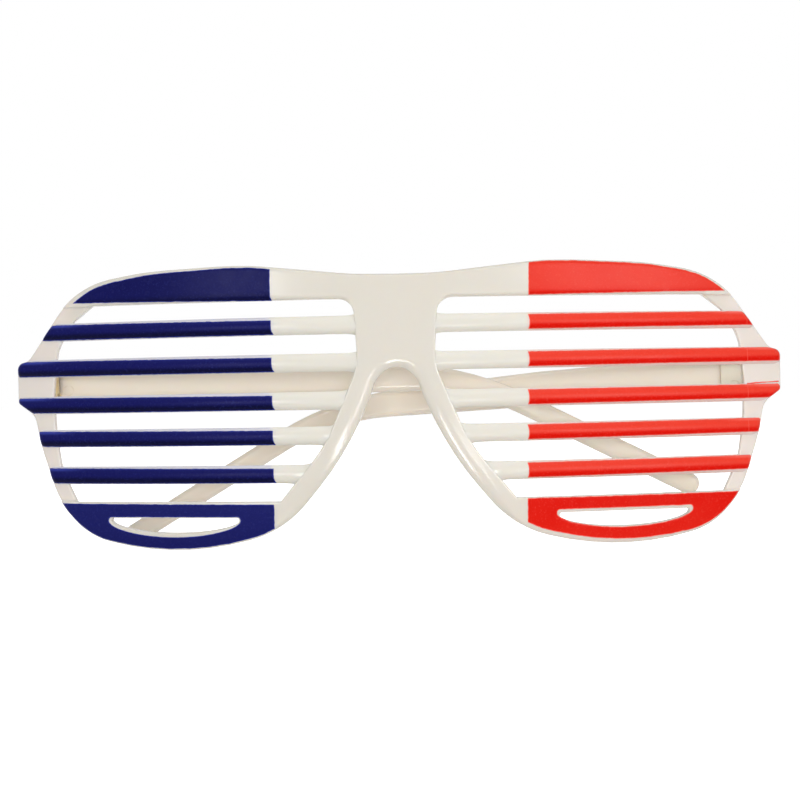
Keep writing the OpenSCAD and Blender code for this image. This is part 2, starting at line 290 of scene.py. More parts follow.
# %% Signed distance from the edges of a flat drawing
def depth_in(points, loops):
    """Distance of flat points from the nearest edge: positive in the material, negative outside."""
    at = np.vstack(loops)
    before = np.vstack([np.roll(loop, 1, 0) for loop in loops])
    after = np.vstack([np.roll(loop, -1, 0) for loop in loops])
    tree = KDTree(len(at))
    for i, (x, z) in enumerate(at):
        tree.insert((x, z, 0), i)
    tree.balance()
    nearest = np.array([tree.find((x, z, 0))[1] for x, z in points])
    found = []
    for a, b in ((before, at), (at, after)):
        run = (b - a)[nearest]
        part = points - a[nearest]
        length = np.maximum(np.linalg.norm(run, axis=1), TINY)
        along = np.clip((part * run).sum(1) / length ** 2, 0, 1)
        gap = np.linalg.norm(part - along[:, None] * run, axis=1)
        left = (run[:, 0] * part[:, 1] - run[:, 1] * part[:, 0]) / length
        found.append((gap, left))
    (gap_a, left_a), (gap_b, left_b) = found
    at_corner = np.abs(gap_a - gap_b) < TINY
    side = np.where(at_corner, left_a + left_b, np.where(gap_a < gap_b, left_a, left_b))
    return np.minimum(gap_a, gap_b) * np.where(side >= 0, 1, -1)


# %% [markdown]
# ## Triangles for a skin
#
# Rings of points follow every edge of the drawing at the depths where the rounding bends most, an
# even grid fills the rest, and a Delaunay triangulation joins them all. It gives well shaped
# triangles however the outline runs, which a filled polygon with a few long faces doesn't.

# %% Points of one skin, and their triangles
RING_SLACK = 0.012
ROW_SHARE = 0.866
GRID_MARGIN = 0.45
MERGE = 1e-5


def left_of(ahead):
    """Unit vectors to the left of flat directions: into the material, where ahead follows a loop."""
    left = np.stack([-ahead[:, 1], ahead[:, 0]], 1)
    return left / np.maximum(np.linalg.norm(left, axis=1, keepdims=True), TINY)


def inward_of(loop):
    return left_of(np.roll(loop, -1, 0) - np.roll(loop, 1, 0))


def ring_points(loops, depths):
    """Points that follow the loops at the given distances inside the material."""
    found = []
    for depth in depths:
        for loop in loops:
            moved = loop + inward_of(loop) * depth
            found.append(moved[depth_in(moved, loops) > depth - RING_SLACK])
    return found


def grid_points(loops, spacing, margin):
    low, high = loops[0].min(0), loops[0].max(0)
    rows = np.arange(low[1], high[1], spacing * ROW_SHARE)
    columns = np.arange(low[0], high[0], spacing)
    x, z = np.meshgrid(columns, rows)
    x = x + spacing / 2 * (np.arange(len(rows)) % 2)[:, None]
    points = np.stack([x.ravel(), z.ravel()], 1)
    return points[depth_in(points, loops) > margin]


def neighbours(loops):
    """Numbers of each point and of the next one round its loop, for loops stacked in a row."""
    pairs, start = [], 0
    for loop in loops:
        ring = start + np.arange(len(loop))
        pairs.append(np.stack([ring, np.roll(ring, -1)]))
        start += len(loop)
    return np.hstack(pairs)


def skin(loops, depths, spacing, extra=()):
    """Flat points and counter-clockwise triangles over the material between the loops."""
    fixed = np.vstack(loops)
    margin = (depths[-1] if len(depths) else 0) + GRID_MARGIN * spacing
    points = np.vstack([fixed, *ring_points(loops, depths), grid_points(loops, spacing, margin), *extra])
    made = delaunay_2d_cdt([Vector(p) for p in points], neighbours(loops).T.tolist(), [], 0, MERGE)
    flat = np.array([tuple(v) for v in made[0]])
    triangles = np.array(made[2])
    triangles = triangles[depth_in(flat[triangles].mean(1), loops) > 0]
    used_for = np.full(len(points), -1)
    for i, sources in enumerate(made[3]):
        used_for[list(sources)] = i
    return flat, triangles, used_for[:len(fixed)]


# %% [markdown]
# ## Two skins and their walls
#
# Walls join the points that both skins have on the drawing's edge, so the mesh is closed without
# any merging. The back may be coarser, because it is nearly plain.

# %% Plates and pieces
BACK_COARSER = 1.7


def plate(loops, front, back, front_depths, back_depths, spacing, extra=()):
    """Closed mesh: front and back give the place in space of flat points."""
    flat_f, tri_f, edge_f = skin(loops, front_depths, spacing, extra)
    flat_b, tri_b, edge_b = skin(loops, back_depths, spacing * BACK_COARSER)
    edge_b = edge_b + len(flat_f)
    vertices = np.vstack([front(flat_f), back(flat_b)])
    faces = tri_f.tolist() + (tri_b[:, ::-1] + len(flat_f)).tolist()
    here, there = neighbours(loops)
    walls = np.stack([edge_f[here], edge_b[here], edge_b[there], edge_f[there]], 1)
    return vertices, faces + walls.tolist()


def rounding(flat, loops, radius):
    """How far the rounded edges of a drawing lie behind its face, at flat points."""
    near = np.clip(radius - np.abs(depth_in(flat, loops)), 0, None)
    return radius - np.sqrt(np.maximum(radius ** 2 - near ** 2, 0))


def ring_depths(radius, steps):
    """Distances from an edge at which a rounded edge needs its rings."""
    return [radius * (1 - math.cos(math.pi / 2 * k / steps)) for k in range(1, steps + 1)]


def add_mesh(name, points, faces=()):
    """A mesh object at the origin, from points in millimetres."""
    mesh = bpy.data.meshes.new(name)
    mesh.from_pydata((np.asarray(points) * MM).tolist(), [], faces)
    mesh.update()
    return add_object(name, mesh)


def finished(piece, finish):
    """The piece with smooth shading and, where one is given, a finish."""
    mesh = piece.data
    mesh.polygons.foreach_set("use_smooth", [True] * len(mesh.polygons))
    if finish:
        mesh.materials.append(finish)
    print(piece.name, len(mesh.vertices), "points,", len(mesh.polygons), "faces")
    return piece


def add_piece(name, vertices, faces, finish):
    return finished(add_mesh(name, vertices, faces), finish)


# %% [markdown]
# ## Building node trees
#
# Materials and Geometry Nodes are both trees of nodes. One helper adds a node and feeds its inputs
# with values or with other nodes' outputs. Rules on numbers would need a node for every plus and
# times, so a small class stands for a number in a tree: ordinary arithmetic on it adds the nodes.

# %% Node helpers
def feed(socket, value):
    """Gives an input a constant, or links it to another node's output."""
    if isinstance(value, Number):
        value = value.socket
    if isinstance(value, bpy.types.NodeSocket):
        socket.id_data.links.new(value, socket)
    else:
        socket.default_value = value


def add_node(tree, kind, inputs=None, **settings):
    made = tree.nodes.new(kind)
    for name, value in settings.items():
        setattr(made, name, value)
    for name, value in (inputs or {}).items():
        feed(made.inputs[name], value)
    return made


def rule(operation, swapped=False):
    """A method that adds one arithmetic node to the number's tree."""
    def method(self, *others):
        values = (*others, self) if swapped else (self, *others)
        inputs = dict(enumerate(values))
        return Number(add_node(self.socket.id_data, "ShaderNodeMath", inputs, operation=operation).outputs[0])
    return method


class Number:
    """An output of a node, as a number to reckon with."""

    def __init__(self, socket):
        self.socket = socket

    def __neg__(self):
        return self * -1

    __add__ = rule("ADD")
    __sub__ = rule("SUBTRACT")
    __rsub__ = rule("SUBTRACT", swapped=True)
    __mul__ = rule("MULTIPLY")
    __truediv__ = rule("DIVIDE")
    __pow__ = rule("POWER")
    __rpow__ = rule("POWER", swapped=True)
    __abs__ = rule("ABSOLUTE")
    sign = rule("SIGN")
    root = rule("SQRT")
    lowest = rule("MINIMUM")
    highest = rule("MAXIMUM")
    below = rule("LESS_THAN")


def axes(source):
    """The three numbers of a vector or a colour."""
    made = add_node(source.id_data, "ShaderNodeSeparateXYZ", {"Vector": source})
    return [Number(made.outputs[axis]) for axis in "XYZ"]


def vector(x, y, z):
    return add_node(x.socket.id_data, "ShaderNodeCombineXYZ", {"X": x, "Y": y, "Z": z}).outputs[0]


def blend(share, first, second):
    """A colour between two others."""
    inputs = {0: share, 6: first, 7: second}
    return add_node(share.socket.id_data, "ShaderNodeMix", inputs, data_type="RGBA").outputs[2]


def ramp(value, low, high):
    """0 below low, 1 above high, smooth between."""
    inputs = {"Value": value, "From Min": low, "From Max": high}
    made = add_node(value.socket.id_data, "ShaderNodeMapRange", inputs, interpolation_type="SMOOTHSTEP")
    return Number(made.outputs["Result"])


def between(share, low, high):
    """low where the share is 0, high where it is 1."""
    return share * (high - low) + low


def noise(place, scale, detail=2.0, roughness=0.5):
    inputs = {"Vector": place, "Scale": scale, "Detail": detail, "Roughness": roughness}
    return Number(add_node(place.id_data, "ShaderNodeTexNoise", inputs).outputs["Fac"])


def linear(red, green, blue):
    """A colour as written in a picture, 0 to 255, as the linear values that nodes take."""
    def one(value):
        value /= 255
        return value / 12.92 if value <= 0.04045 else ((value + 0.055) / 1.055) ** 2.4
    return (one(red), one(green), one(blue), 1.0)


# %% [markdown]
# ## Where the finishes come from
#
# Nothing here is painted or photographed. Every finish is worked out from the place on the object,
# by noise and simple rules, so it needs no unwrapping and is as fine as the picture asks for. Its
# coordinates are scaled to millimetres, so that a speck of 0.09 is a speck of 0.09 mm.

# %% Shared parts of the finishes
PEEL_DEPTH = 0.0002


def start_finish(name):
    """A material, its shader, and Object coordinates in millimetres."""
    finish = bpy.data.materials.new(name)
    finish.use_nodes = True
    tree = finish.node_tree
    place = add_node(tree, "ShaderNodeTexCoord").outputs["Object"]
    scaled = add_node(tree, "ShaderNodeMapping", {"Vector": place, "Scale": (1000, 1000, 1000)})
    return finish, tree.nodes["Principled BSDF"], scaled.outputs["Vector"]


def specks(place, spacing, size, share):
    """Small round specks in a share of the cells: 1 on a speck and 0 elsewhere."""
    cells = add_node(place.id_data, "ShaderNodeTexVoronoi", {"Vector": place, "Scale": 1 / spacing}).outputs
    near = 1 - ramp(Number(cells["Distance"]), 0.5 * size / spacing, size / spacing)
    return axes(cells["Color"])[0].below(share) * near


def bumped(shader, height, strength):
    """Fine relief, too small to be geometry."""
    inputs = {"Height": height, "Strength": strength, "Distance": PEEL_DEPTH}
    bump = add_node(shader.id_data, "ShaderNodeBump", inputs)
    feed(shader.inputs["Normal"], bump.outputs["Normal"])


# %% [markdown]
# ## Tones of single places
#
# The mould leaves a ring where an ejector pin pushed. The rest is painted light on the same plastic,
# made by place: painted shade in the roots of the hinges, end pieces painted a little lighter and
# pinker than the middle, and the print's colour painted on the bare edges of the bars as its glow.

# %% Marks, and painted light and shade
EJECTOR_R = 0.95
EJECTOR_MARKS = [(-65.5, -3.2), (65.8, 0.5), (65.9, -4.7)]
MARK_TONE = linear(214, 199, 172)
# Painted shade and light in the hinge roots: dark tan on the left, light warm tone on the right.
ROOT_SHADE_TONES = (linear(236, 208, 152), linear(255, 246, 229))
# End pieces painted lighter and pinker than the middle: painted light.
END_PAINTED_LIGHT_TONE = linear(236, 227, 218)
# Painted glow: the print's colour painted onto the forward faces of the bars' white plastic.
RED_PRINT_GLOW = linear(240, 200, 192)
BLUE_PRINT_GLOW = linear(206, 205, 222)
PRINT_GLOW_SHARE = 0.7
RING_BREAKS = (0.4, 0.65)
RING_SHARE = 0.5
RING_EDGE = (0.03, 0.2)
ROOT_SHADE_BEGINS = (60.0, 61.0)
ROOT_SHADE_ENDS = (68.4, 68.7)
END_LIGHT_BEGINS = (60.0, 66.0)
RED_BEGINS = (24.2, 25.6)
BLUE_BEGINS = (23.0, 24.4)
FORWARD = (-0.2, 0.2)


def marked(place, tone, dust):
    """Rings left by the ejector pins beside the hinges."""
    x, _, z = axes(place)
    broken = ramp(noise(place, scale=0.5, detail=1.0), *RING_BREAKS) * RING_SHARE
    for mark_x, mark_z in EJECTOR_MARKS:
        across, up = x - mark_x, z - mark_z
        off = abs((up * up + across * across).root() - EJECTOR_R)
        ring = (1 - ramp(off, *RING_EDGE)) * broken
        tone = blend(ring, tone, MARK_TONE)
        dust = dust - ring
    return tone, dust


def root_shaded_and_marked(place, tone, dust):
    """Painted shade and light at the roots of the hinges, seen through the openings only: a dark tan on the
    left, a light warm tone on the right. Then the ejector rings.
    """
    x = axes(place)[0]
    for out, root_shade_tone in zip((-x, x), ROOT_SHADE_TONES):
        inner = ramp(out, *ROOT_SHADE_BEGINS) * (1 - ramp(out, *ROOT_SHADE_ENDS))
        tone = blend(inner, tone, root_shade_tone)
    return marked(place, tone, dust)


# Painted light: the end pieces are made lighter and pinker than the middle.
def end_painted_lighter(place, tone, dust):
    return blend(ramp(abs(axes(place)[0]), *END_LIGHT_BEGINS), tone, END_PAINTED_LIGHT_TONE), dust


def print_glow_painted(place, tone, dust):
    """Painted glow of the print's colour on the bars' white plastic, on faces that look forwards only."""
    x = axes(place)[0]
    normal = add_node(place.id_data, "ShaderNodeTexCoord").outputs["Normal"]
    forward = ramp(-axes(normal)[1], *FORWARD) * PRINT_GLOW_SHARE
    tone = blend(ramp(x, *RED_BEGINS) * forward, tone, RED_PRINT_GLOW)
    return blend(ramp(-x, *BLUE_BEGINS) * forward, tone, BLUE_PRINT_GLOW), dust


# %% [markdown]
# ## The white plastic
#
# The moulding is warm white polystyrene. Its tone drifts a little from place to place, its gloss is
# broken by a very fine orange peel, light goes a short way into it, and a few specks of dust were
# caught in the mould.

# %% White plastic
DUST_TONE = linear(150, 138, 120)
DUST_SHARE = 0.55
DUST_RISE = 0.6


def white_plastic(name, light, dark, changed):
    finish, shader, place = start_finish(name)
    tone = blend(noise(place, scale=0.05, detail=1.0), light, dark)
    dust = specks(place, spacing=5.0, size=0.09, share=0.35)
    tone, dust = changed(place, blend(dust * DUST_SHARE, tone, DUST_TONE), dust)
    feed(shader.inputs["Base Color"], tone)
    feed(shader.inputs["Roughness"], between(noise(place, scale=0.35), 0.15, 0.2))
    shader.inputs["Subsurface Weight"].default_value = 0.35
    shader.inputs["Subsurface Radius"].default_value = (1.0, 0.75, 0.45)
    shader.inputs["Subsurface Scale"].default_value = 0.0012
    bumped(shader, noise(place, scale=1.1, detail=3.0) + dust * DUST_RISE, strength=0.05)
    return finish


# One white plastic in four tones. The temples' copy is painted lighter than the front plate, for the light
# they lose behind it, and the bars' copy a little lighter as lit plastic. The hinge blocks are a little
# lighter too.
plastic = white_plastic("white_plastic", linear(227, 222, 211), linear(225, 219, 207), end_painted_lighter)
bar_plastic_painted_lighter = white_plastic("bar_plastic_painted_lighter", linear(232, 229, 219), linear(230, 226, 215), print_glow_painted)
hinge_plastic = white_plastic("hinge_plastic", linear(233, 228, 217), linear(231, 225, 212), root_shaded_and_marked)
arm_plastic_painted_lighter = white_plastic("arm_plastic_painted_lighter", linear(245, 236, 222), linear(244, 233, 218), marked)
print("finishes", plastic.name, bar_plastic_painted_lighter.name, hinge_plastic.name, arm_plastic_painted_lighter.name)

# %% [markdown]
# ## The printed lacquer
#
# The blue and red thirds are pad printed, and along every edge some white shows through. The tone
# is painted lighter at the upper edge of a bar and darker at its lower edge, as a painted highlight
# and painted shade. Each printed mesh carries two attributes, and the finish reads both: the coat
# value, from -1 where the tone is lightest to 1 where it is darkest, and the distance to the print's
# edge in millimetres.

# %% Lacquer
SEAM_X = 67.85
SEAM_EDGE = (0.03, 0.16)
SEAM_SHARE = 0.3
THIN_EDGE = (0.02, 0.22)
SPECKLE_EDGE = (0.52, 0.72)
SPECKLE_SHARE = 0.16
INK_DUST_SHARE = 0.45


def attribute(shader, name):
    return Number(add_node(shader.id_data, "ShaderNodeAttribute", attribute_name=name).outputs["Fac"])


def lacquer(name, darkest, plain, light, thin, dust_tone, sheen):
    finish, shader, place = start_finish(name)
    shader.inputs["Specular IOR Level"].default_value = sheen
    # Above 0 the coat value darkens towards the darkest tone and below 0 it lightens towards the light one:
    # on the bars and the brow this is painted shade low and a painted highlight on top.
    coat = attribute(shader, "coat")
    drift = between(noise(place, scale=0.12, detail=3.0), -0.15, 0.15)
    tone = blend(ramp(coat + drift, 0.0, 1.0), plain, darkest)
    tone = blend(ramp(-coat, 0.0, 1.0), tone, light)
    wander = between(noise(place, scale=2.2), -0.08, 0.08)
    thinned = 1 - ramp(attribute(shader, "edge_mm") + wander, *THIN_EDGE)
    off_seam = abs(axes(place)[0] - SEAM_X)
    seam = (1 - ramp(off_seam, *SEAM_EDGE)) * SEAM_SHARE
    tone = blend(thinned.highest(seam), tone, thin)
    speckle = ramp(noise(place, scale=2.6, detail=3.0, roughness=0.7), *SPECKLE_EDGE)
    tone = blend(speckle * SPECKLE_SHARE, tone, thin)
    dust = specks(place, spacing=2.2, size=0.08, share=0.3)
    feed(shader.inputs["Base Color"], blend(dust * INK_DUST_SHARE, tone, dust_tone))
    gloss = ramp(noise(place, scale=0.5, detail=4.0), 0.2, 0.8)
    feed(shader.inputs["Roughness"], between(gloss, 0.2, 0.3))
    bumped(shader, noise(place, scale=1.6, detail=3.0) + dust, strength=0.1)
    return finish


blue_ink = lacquer(
    "blue_lacquer", darkest=linear(4, 5, 50), plain=linear(21, 23, 91), light=linear(58, 68, 160),
    thin=linear(60, 70, 160), dust_tone=linear(100, 110, 190), sheen=0.05)
red_ink = lacquer(
    "red_lacquer", darkest=linear(226, 16, 0), plain=linear(241, 65, 48), light=linear(250, 106, 93),
    thin=linear(253, 112, 98), dust_tone=linear(252, 150, 138), sheen=0.06)
print("finishes", blue_ink.name, red_ink.name)

# %% [markdown]
# ## The pins' steel
#
# A hinge pin is a cut length of drawn wire, so its fine lines run along it. The same noise as
# before makes them, with its coordinates squeezed across the pin and stretched along it.

# %% Pin steel
def pin_steel():
    finish, shader, place = start_finish("pin_steel")
    stretched = add_node(place.id_data, "ShaderNodeMapping", {"Vector": place, "Scale": (6, 6, 0.3)})
    lines = noise(stretched.outputs["Vector"], scale=2.0, detail=4.0)
    feed(shader.inputs["Base Color"], blend(lines, linear(176, 178, 182), linear(204, 206, 208)))
    shader.inputs["Metallic"].default_value = 1.0
    feed(shader.inputs["Roughness"], between(lines, 0.25, 0.45))
    return finish


steel = pin_steel()
print("finish", steel.name)

# %% [markdown]
# ## The front moulding
#
# Brow, bridge, rims and bottom lips are one plate wrapped to a radius of 200 mm. The rims and end
# pieces beside the temples lie 0.9 mm deeper than the rest. The edges round the nose are the
# softest, because they touch skin, and the brow leans back a little towards its top.

# %% Depths of the front's two skins
STEP_W = 0.22
BROW_LEAN = 0.30
LIP_LEAN = 0.25
MOST_LEAN = 1.2
EDGE_R = 0.75
NOSE_EDGE_MORE = 2.05
NOSE_EDGE_FLATTER = 0.68
NOSE_EDGE_X = 24
NOSE_EDGE_FADE = 8
NOSE_EDGE_Z = 4
NOSE_EDGE_RISE = 5
RECESS_EDGE_LESS = 0.35
BACK_EDGE_R = 0.45
HOLE_EDGE_R = 0.25
BROW_EDGE_MORE = 0.5


def wrapped(flat, depth):
    """Places in space of flat points that lie depth behind the wrapped front face."""
    x, z = flat.T
    return np.stack([x, WRAP_R - np.sqrt((WRAP_R - depth) ** 2 - x ** 2), z], 1)


def smooth(value):
    value = np.clip(value, 0, 1)
    return value * value * (3 - 2 * value)


def recessed(flat):
    """1 on the temple-side rims and end pieces, 0 on the raised parts."""
    x, z = np.abs(flat[:, 0]), flat[:, 1]
    return (x > LIP_MID) * smooth((LENS_TOP - z) / STEP_W) * smooth((z - LENS_BOTTOM) / STEP_W)


def face_depth(flat):
    """Depth of the raised or recessed face, before its edges are rounded."""
    z = flat[:, 1]
    lean = BROW_LEAN * np.clip((z - LENS_TOP) / BROW_H, 0, MOST_LEAN) ** 2
    droop = LIP_LEAN * np.clip((LENS_BOTTOM - z) / LIP_H, 0, MOST_LEAN) ** 2
    return RECESS * recessed(flat) + lean + droop


def edge_shape(flat):
    """Width of the outer edge's rounding, and its depth as a share of that. It is widest and
    flattest round the nose, and narrowest on the recessed rims."""
    x, z = np.abs(flat[:, 0]), flat[:, 1]
    nose = smooth((NOSE_EDGE_X - x) / NOSE_EDGE_FADE) * smooth((NOSE_EDGE_Z - z) / NOSE_EDGE_RISE)
    width = EDGE_R + NOSE_EDGE_MORE * nose - RECESS_EDGE_LESS * recessed(flat)
    return width, 1 - NOSE_EDGE_FLATTER * nose


def front_skin(flat):
    width, share = edge_shape(flat)
    hole_edge = HOLE_EDGE_R + BROW_EDGE_MORE * smooth(flat[:, 1] - LENS_TOP + 1)
    drop = share * rounding(flat, [outer_loop], width) + rounding(flat, hole_loops, hole_edge)
    return wrapped(flat, face_depth(flat) + drop)


def back_skin(flat):
    return wrapped(flat, FRONT_T - rounding(flat, front_loops, BACK_EDGE_R))


# %% [markdown]
# ## The plate of the front
#
# The step down to the recessed rims is narrower than the grid, so rows of extra points follow it.
# The softest edge needs rings as far in as it reaches, which is 2.8 mm.

# %% Front plate
FRONT_RINGS = [0.06, *ring_depths(EDGE_R, 4), 1.0, 1.3, 1.65, 2.0, 2.4, 2.8]
STEP_X = np.arange(55, 70, 0.2)
STEP_CLEAR = 0.12
step_lines = []
for side in (1, -1):
    for level in (LENS_TOP, LENS_TOP - STEP_W, LENS_BOTTOM, LENS_BOTTOM + STEP_W):
        row = np.stack([side * STEP_X, np.full(len(STEP_X), level)], 1)
        step_lines.append(row[depth_in(row, front_loops) > STEP_CLEAR])
front_moulding = add_piece("front_moulding", *plate(
    front_loops, front_skin, back_skin, FRONT_RINGS, ring_depths(BACK_EDGE_R, 3),
    spacing=0.7, extra=step_lines), plastic)
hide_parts("front_frame")

# %% [markdown]
# ## The hinges
#
# Behind each end piece two lugs hold a steel pin, and a cheek beside them stops the open temple.
# They are hidden in the photograph and seen from behind, so they are small rounded blocks with a
# real hole, drawn from above and built by the same plate function.

# %% Hinge sizes and places
HINGE_X = HALF_W - 4.9
HINGE_Z = END_Z - 0.2
LEAN = math.radians(2.05)
LEFT_FOLD = math.radians(4.8)
TEMPLE_T = 2.6
TONGUE_H = 3.0
TONGUE_GAP = 0.15
LUG_R = 2.2
TONGUE_R = 2.1
PIN_R = 0.7
PIN_PLAY = 0.05
PIN_BACK = 3.5
CHEEK_X = TEMPLE_T / 2 + 0.25
CHEEK_BACK = 3.2
LUG_Z = TONGUE_H / 2 + TONGUE_GAP
LUG_TOP = END_H / 2 - 0.2
ROOT_IN = 0.9
ROOT_RAMP = 3.9
ROOT_BACK = 2.6
ROOT_SUNK = 1.0


def back_y(x):
    return WRAP_R - math.sqrt((WRAP_R - FRONT_T) ** 2 - x ** 2)


HINGE_Y = back_y(HINGE_X) + PIN_BACK


def at_hinge(side):
    return Matrix.Translation((side * HINGE_X, HINGE_Y, HINGE_Z)) @ Matrix.Rotation(-LEAN, 4, "Y")


def moved(vertices, matrix):
    table = np.array(matrix)
    return np.asarray(vertices) @ table[:3, :3].T + table[:3, 3]


print("hinge lines at x", HINGE_X, "y", round(HINGE_Y, 2), "z", round(HINGE_Z, 2), "mm")

# %% [markdown]
# ## Blocks drawn from above
#
# A lug is a short upright block, so its drawing lies in X and Y and its two skins are its top and
# its underside.

# %% Blocks
BLOCK_STEP = 0.25


def circle(radius):
    steps = round(2 * math.pi * radius / BLOCK_STEP)
    angles = 2 * math.pi * np.arange(steps) / steps
    return radius * np.stack([np.cos(angles), np.sin(angles)], 1)


def upright_block(loops, low, high, radius=0.25):
    """Closed block between two heights, over a drawing in X and Y, with rounded edges."""
    loops = [ordered(evenly(loop, BLOCK_STEP), k == 0) for k, loop in enumerate(loops)]
    depths = ring_depths(radius, 3)

    def skin_at(height, way):
        def place(flat):
            return np.column_stack([flat, height - way * rounding(flat, loops, radius)])
        return place

    return plate(loops, skin_at(high, 1), skin_at(low, -1), depths, depths, spacing=0.8)


def mirrored(vertices, faces):
    return vertices * (-1, 1, 1), [face[::-1] for face in faces]


def gathered(parts):
    """Several closed meshes as one."""
    vertices, faces, start = [], [], 0
    for points, sides in parts:
        vertices.append(np.asarray(points))
        faces += [[start + i for i in face] for face in sides]
        start += len(points)
    return np.vstack(vertices), faces


# %% [markdown]
# ## Lugs and cheeks
#
# Each hinge has two lugs with a hole for the pin, a shelf and a wall that tie them to the plate,
# and a cheek. The wall on the red side runs on as a ramp towards the middle.

# %% Hinge blocks
CORNER_R = 0.2
CHEEK_CORNER_R = 0.6
CHEEK_OUT = HALF_W - 0.1
CHEEK_FROM = END_BOTTOM + 0.5
CHEEK_TO = END_TOP - 0.7


def box_line(left, right, near, far, far_radius=CORNER_R):
    """A box seen from above, with small radii at its near corners."""
    return rounded([(right, near, CORNER_R), (right, far, far_radius),
                    (left, far, far_radius), (left, near, CORNER_R)])


def hinge_parts(side):
    near = -PIN_BACK - ROOT_SUNK
    far_in = LUG_R + ROOT_IN
    ramp_in, ramp_back = (ROOT_RAMP, -CHEEK_X) if side > 0 else (0, -ROOT_BACK)
    lug = box_line(-LUG_R, LUG_R, near, LUG_R, LUG_R * 0.999)
    shelf = box_line(-LUG_R, far_in, near, -CHEEK_X)
    wall = rounded([
        (far_in, near, CORNER_R),
        (far_in + ramp_in, ramp_back, CORNER_R),
        (-LUG_R, -ROOT_BACK, CORNER_R),
        (-LUG_R, near, CORNER_R),
    ])
    cheek_near, cheek_far = back_y(HALF_W) - ROOT_SUNK, HINGE_Y + CHEEK_BACK
    cheek = rounded([
        (HINGE_X + CHEEK_X, cheek_near, CORNER_R),
        (CHEEK_OUT, cheek_near, CORNER_R),
        (CHEEK_OUT, cheek_far, CHEEK_CORNER_R),
        (HINGE_X + CHEEK_X, cheek_far, CHEEK_CORNER_R),
    ])
    blocks = [([wall], -LUG_TOP, LUG_TOP)]
    for low, high in ((LUG_Z, LUG_TOP), (-LUG_TOP, -LUG_Z)):
        blocks += [([lug, circle(PIN_R)], low, high), ([shelf], low, high)]
    parts = []
    for loops, low, high in blocks:
        points, faces = upright_block([loop * (-side, 1) for loop in loops], low, high)
        parts.append((moved(points, at_hinge(side)), faces))
    block = upright_block([cheek], CHEEK_FROM, CHEEK_TO, radius=0.4)
    return [*parts, block if side > 0 else mirrored(*block)]


hinge_blocks = add_piece("hinge_blocks", *gathered(hinge_parts(-1) + hinge_parts(1)), hinge_plastic)

# %% [markdown]
# ## The temples
#
# A temple is a flat arm that narrows towards the ear and bends down into a hook. Its edges are well
# rounded. A tongue at its root turns on the pin, between the two lugs. Both arms are the same
# moulding; the left one is mirrored and lies at 4.8 degrees behind the right one.

# %% Temple drawing
BEND_S = 83.8
HOOK_S = 45.5
HOOK_ANGLE = math.radians(28.8)
HOOK_H = 4.15
BEND_TOP = -0.55
TEMPLE_H = 7.4
TEMPLE_BUTT = 2.5
TIP_R = HOOK_H / 2 - 0.05
hook_top = BEND_TOP - HOOK_S * math.tan(HOOK_ANGLE)
hook_end = BEND_S + HOOK_S
temple_line = rounded([
    (TEMPLE_BUTT, TEMPLE_H / 2, 0.4),
    (BEND_S - 42, TEMPLE_H / 2 - 1.3, BOW_R),
    (BEND_S, BEND_TOP, BOW_R),
    (hook_end, hook_top, TIP_R),
    (hook_end - HOOK_H * math.sin(HOOK_ANGLE), hook_top - HOOK_H * math.cos(HOOK_ANGLE), TIP_R),
    (BEND_S, BEND_TOP - HOOK_H / math.cos(HOOK_ANGLE), 45),
    (TEMPLE_BUTT, -TEMPLE_H / 2 - 0.2, 0.4),
])
tongue_line = rounded([
    (TEMPLE_BUTT + 1, -1.25, 0.1),
    (TEMPLE_BUTT + 1, 1.25, 0.1),
    (1.2, 1.25, 0.6),
    (0, TONGUE_R, 1.2),
    (-TONGUE_R, 1.5, 1.6),
    (-TONGUE_R, -1.5, 1.6),
    (0, -TONGUE_R, 1.2),
    (1.2, -1.25, 0.6),
])
print("temple reaches", round(hook_end, 1), "mm from its hinge line")

# %% [markdown]
# ## The temples' mesh
#
# The arm is a plate with the same rounding on both faces, which tapers off at the square root end.
# The mirrored copy turns its faces round, so that they still look outwards.

# %% Temples
ARM_EDGE_R = 1.15
ARM_EDGE_RUN = 6
ROOT_SHARE = 0.35
ARM_RINGS = [0.04, *ring_depths(ARM_EDGE_R, 6)]


def temple_parts():
    loops = [ordered(evenly(temple_line, 0.4), True)]

    def face(sign):
        def place(flat):
            full = smooth((flat[:, 0] - TEMPLE_BUTT) / ARM_EDGE_RUN)
            drop = rounding(flat, loops, ARM_EDGE_R * (ROOT_SHARE + (1 - ROOT_SHARE) * full))
            return np.stack([flat[:, 0], sign * (TEMPLE_T / 2 - drop), flat[:, 1]], 1)
        return place

    arm = plate(loops, face(-1), face(1), ARM_RINGS, ARM_RINGS, spacing=0.9)
    hole = circle(PIN_R + PIN_PLAY)
    return gathered([arm, upright_block([tongue_line, hole], -TONGUE_H / 2, TONGUE_H / 2, radius=0.2)])


points, faces = temple_parts()
right_temple = add_piece("right_temple_arm", moved(points, at_hinge(-1)), faces, arm_plastic_painted_lighter)
points, faces = mirrored(points, faces)
fold = at_hinge(1) @ Matrix.Rotation(-LEFT_FOLD, 4, "Z")
left_temple = add_piece("left_temple_arm", moved(points, fold), faces, arm_plastic_painted_lighter)
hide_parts("right_temple")
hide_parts("left_temple")

# %% [markdown]
# ## The louvre bars
#
# Ten bars repeat one section, so Geometry Nodes make them. The tree starts from ten points, one for
# each bar, sweeps the bar's section along a line at every point, and then sets where each bar
# begins and ends by casting rays at the outline's walls: inwards from outside the front for the
# outer end, and from the middle of the opening towards the nose for the inner one. Last, it bends
# the bars to the wrap of the front.


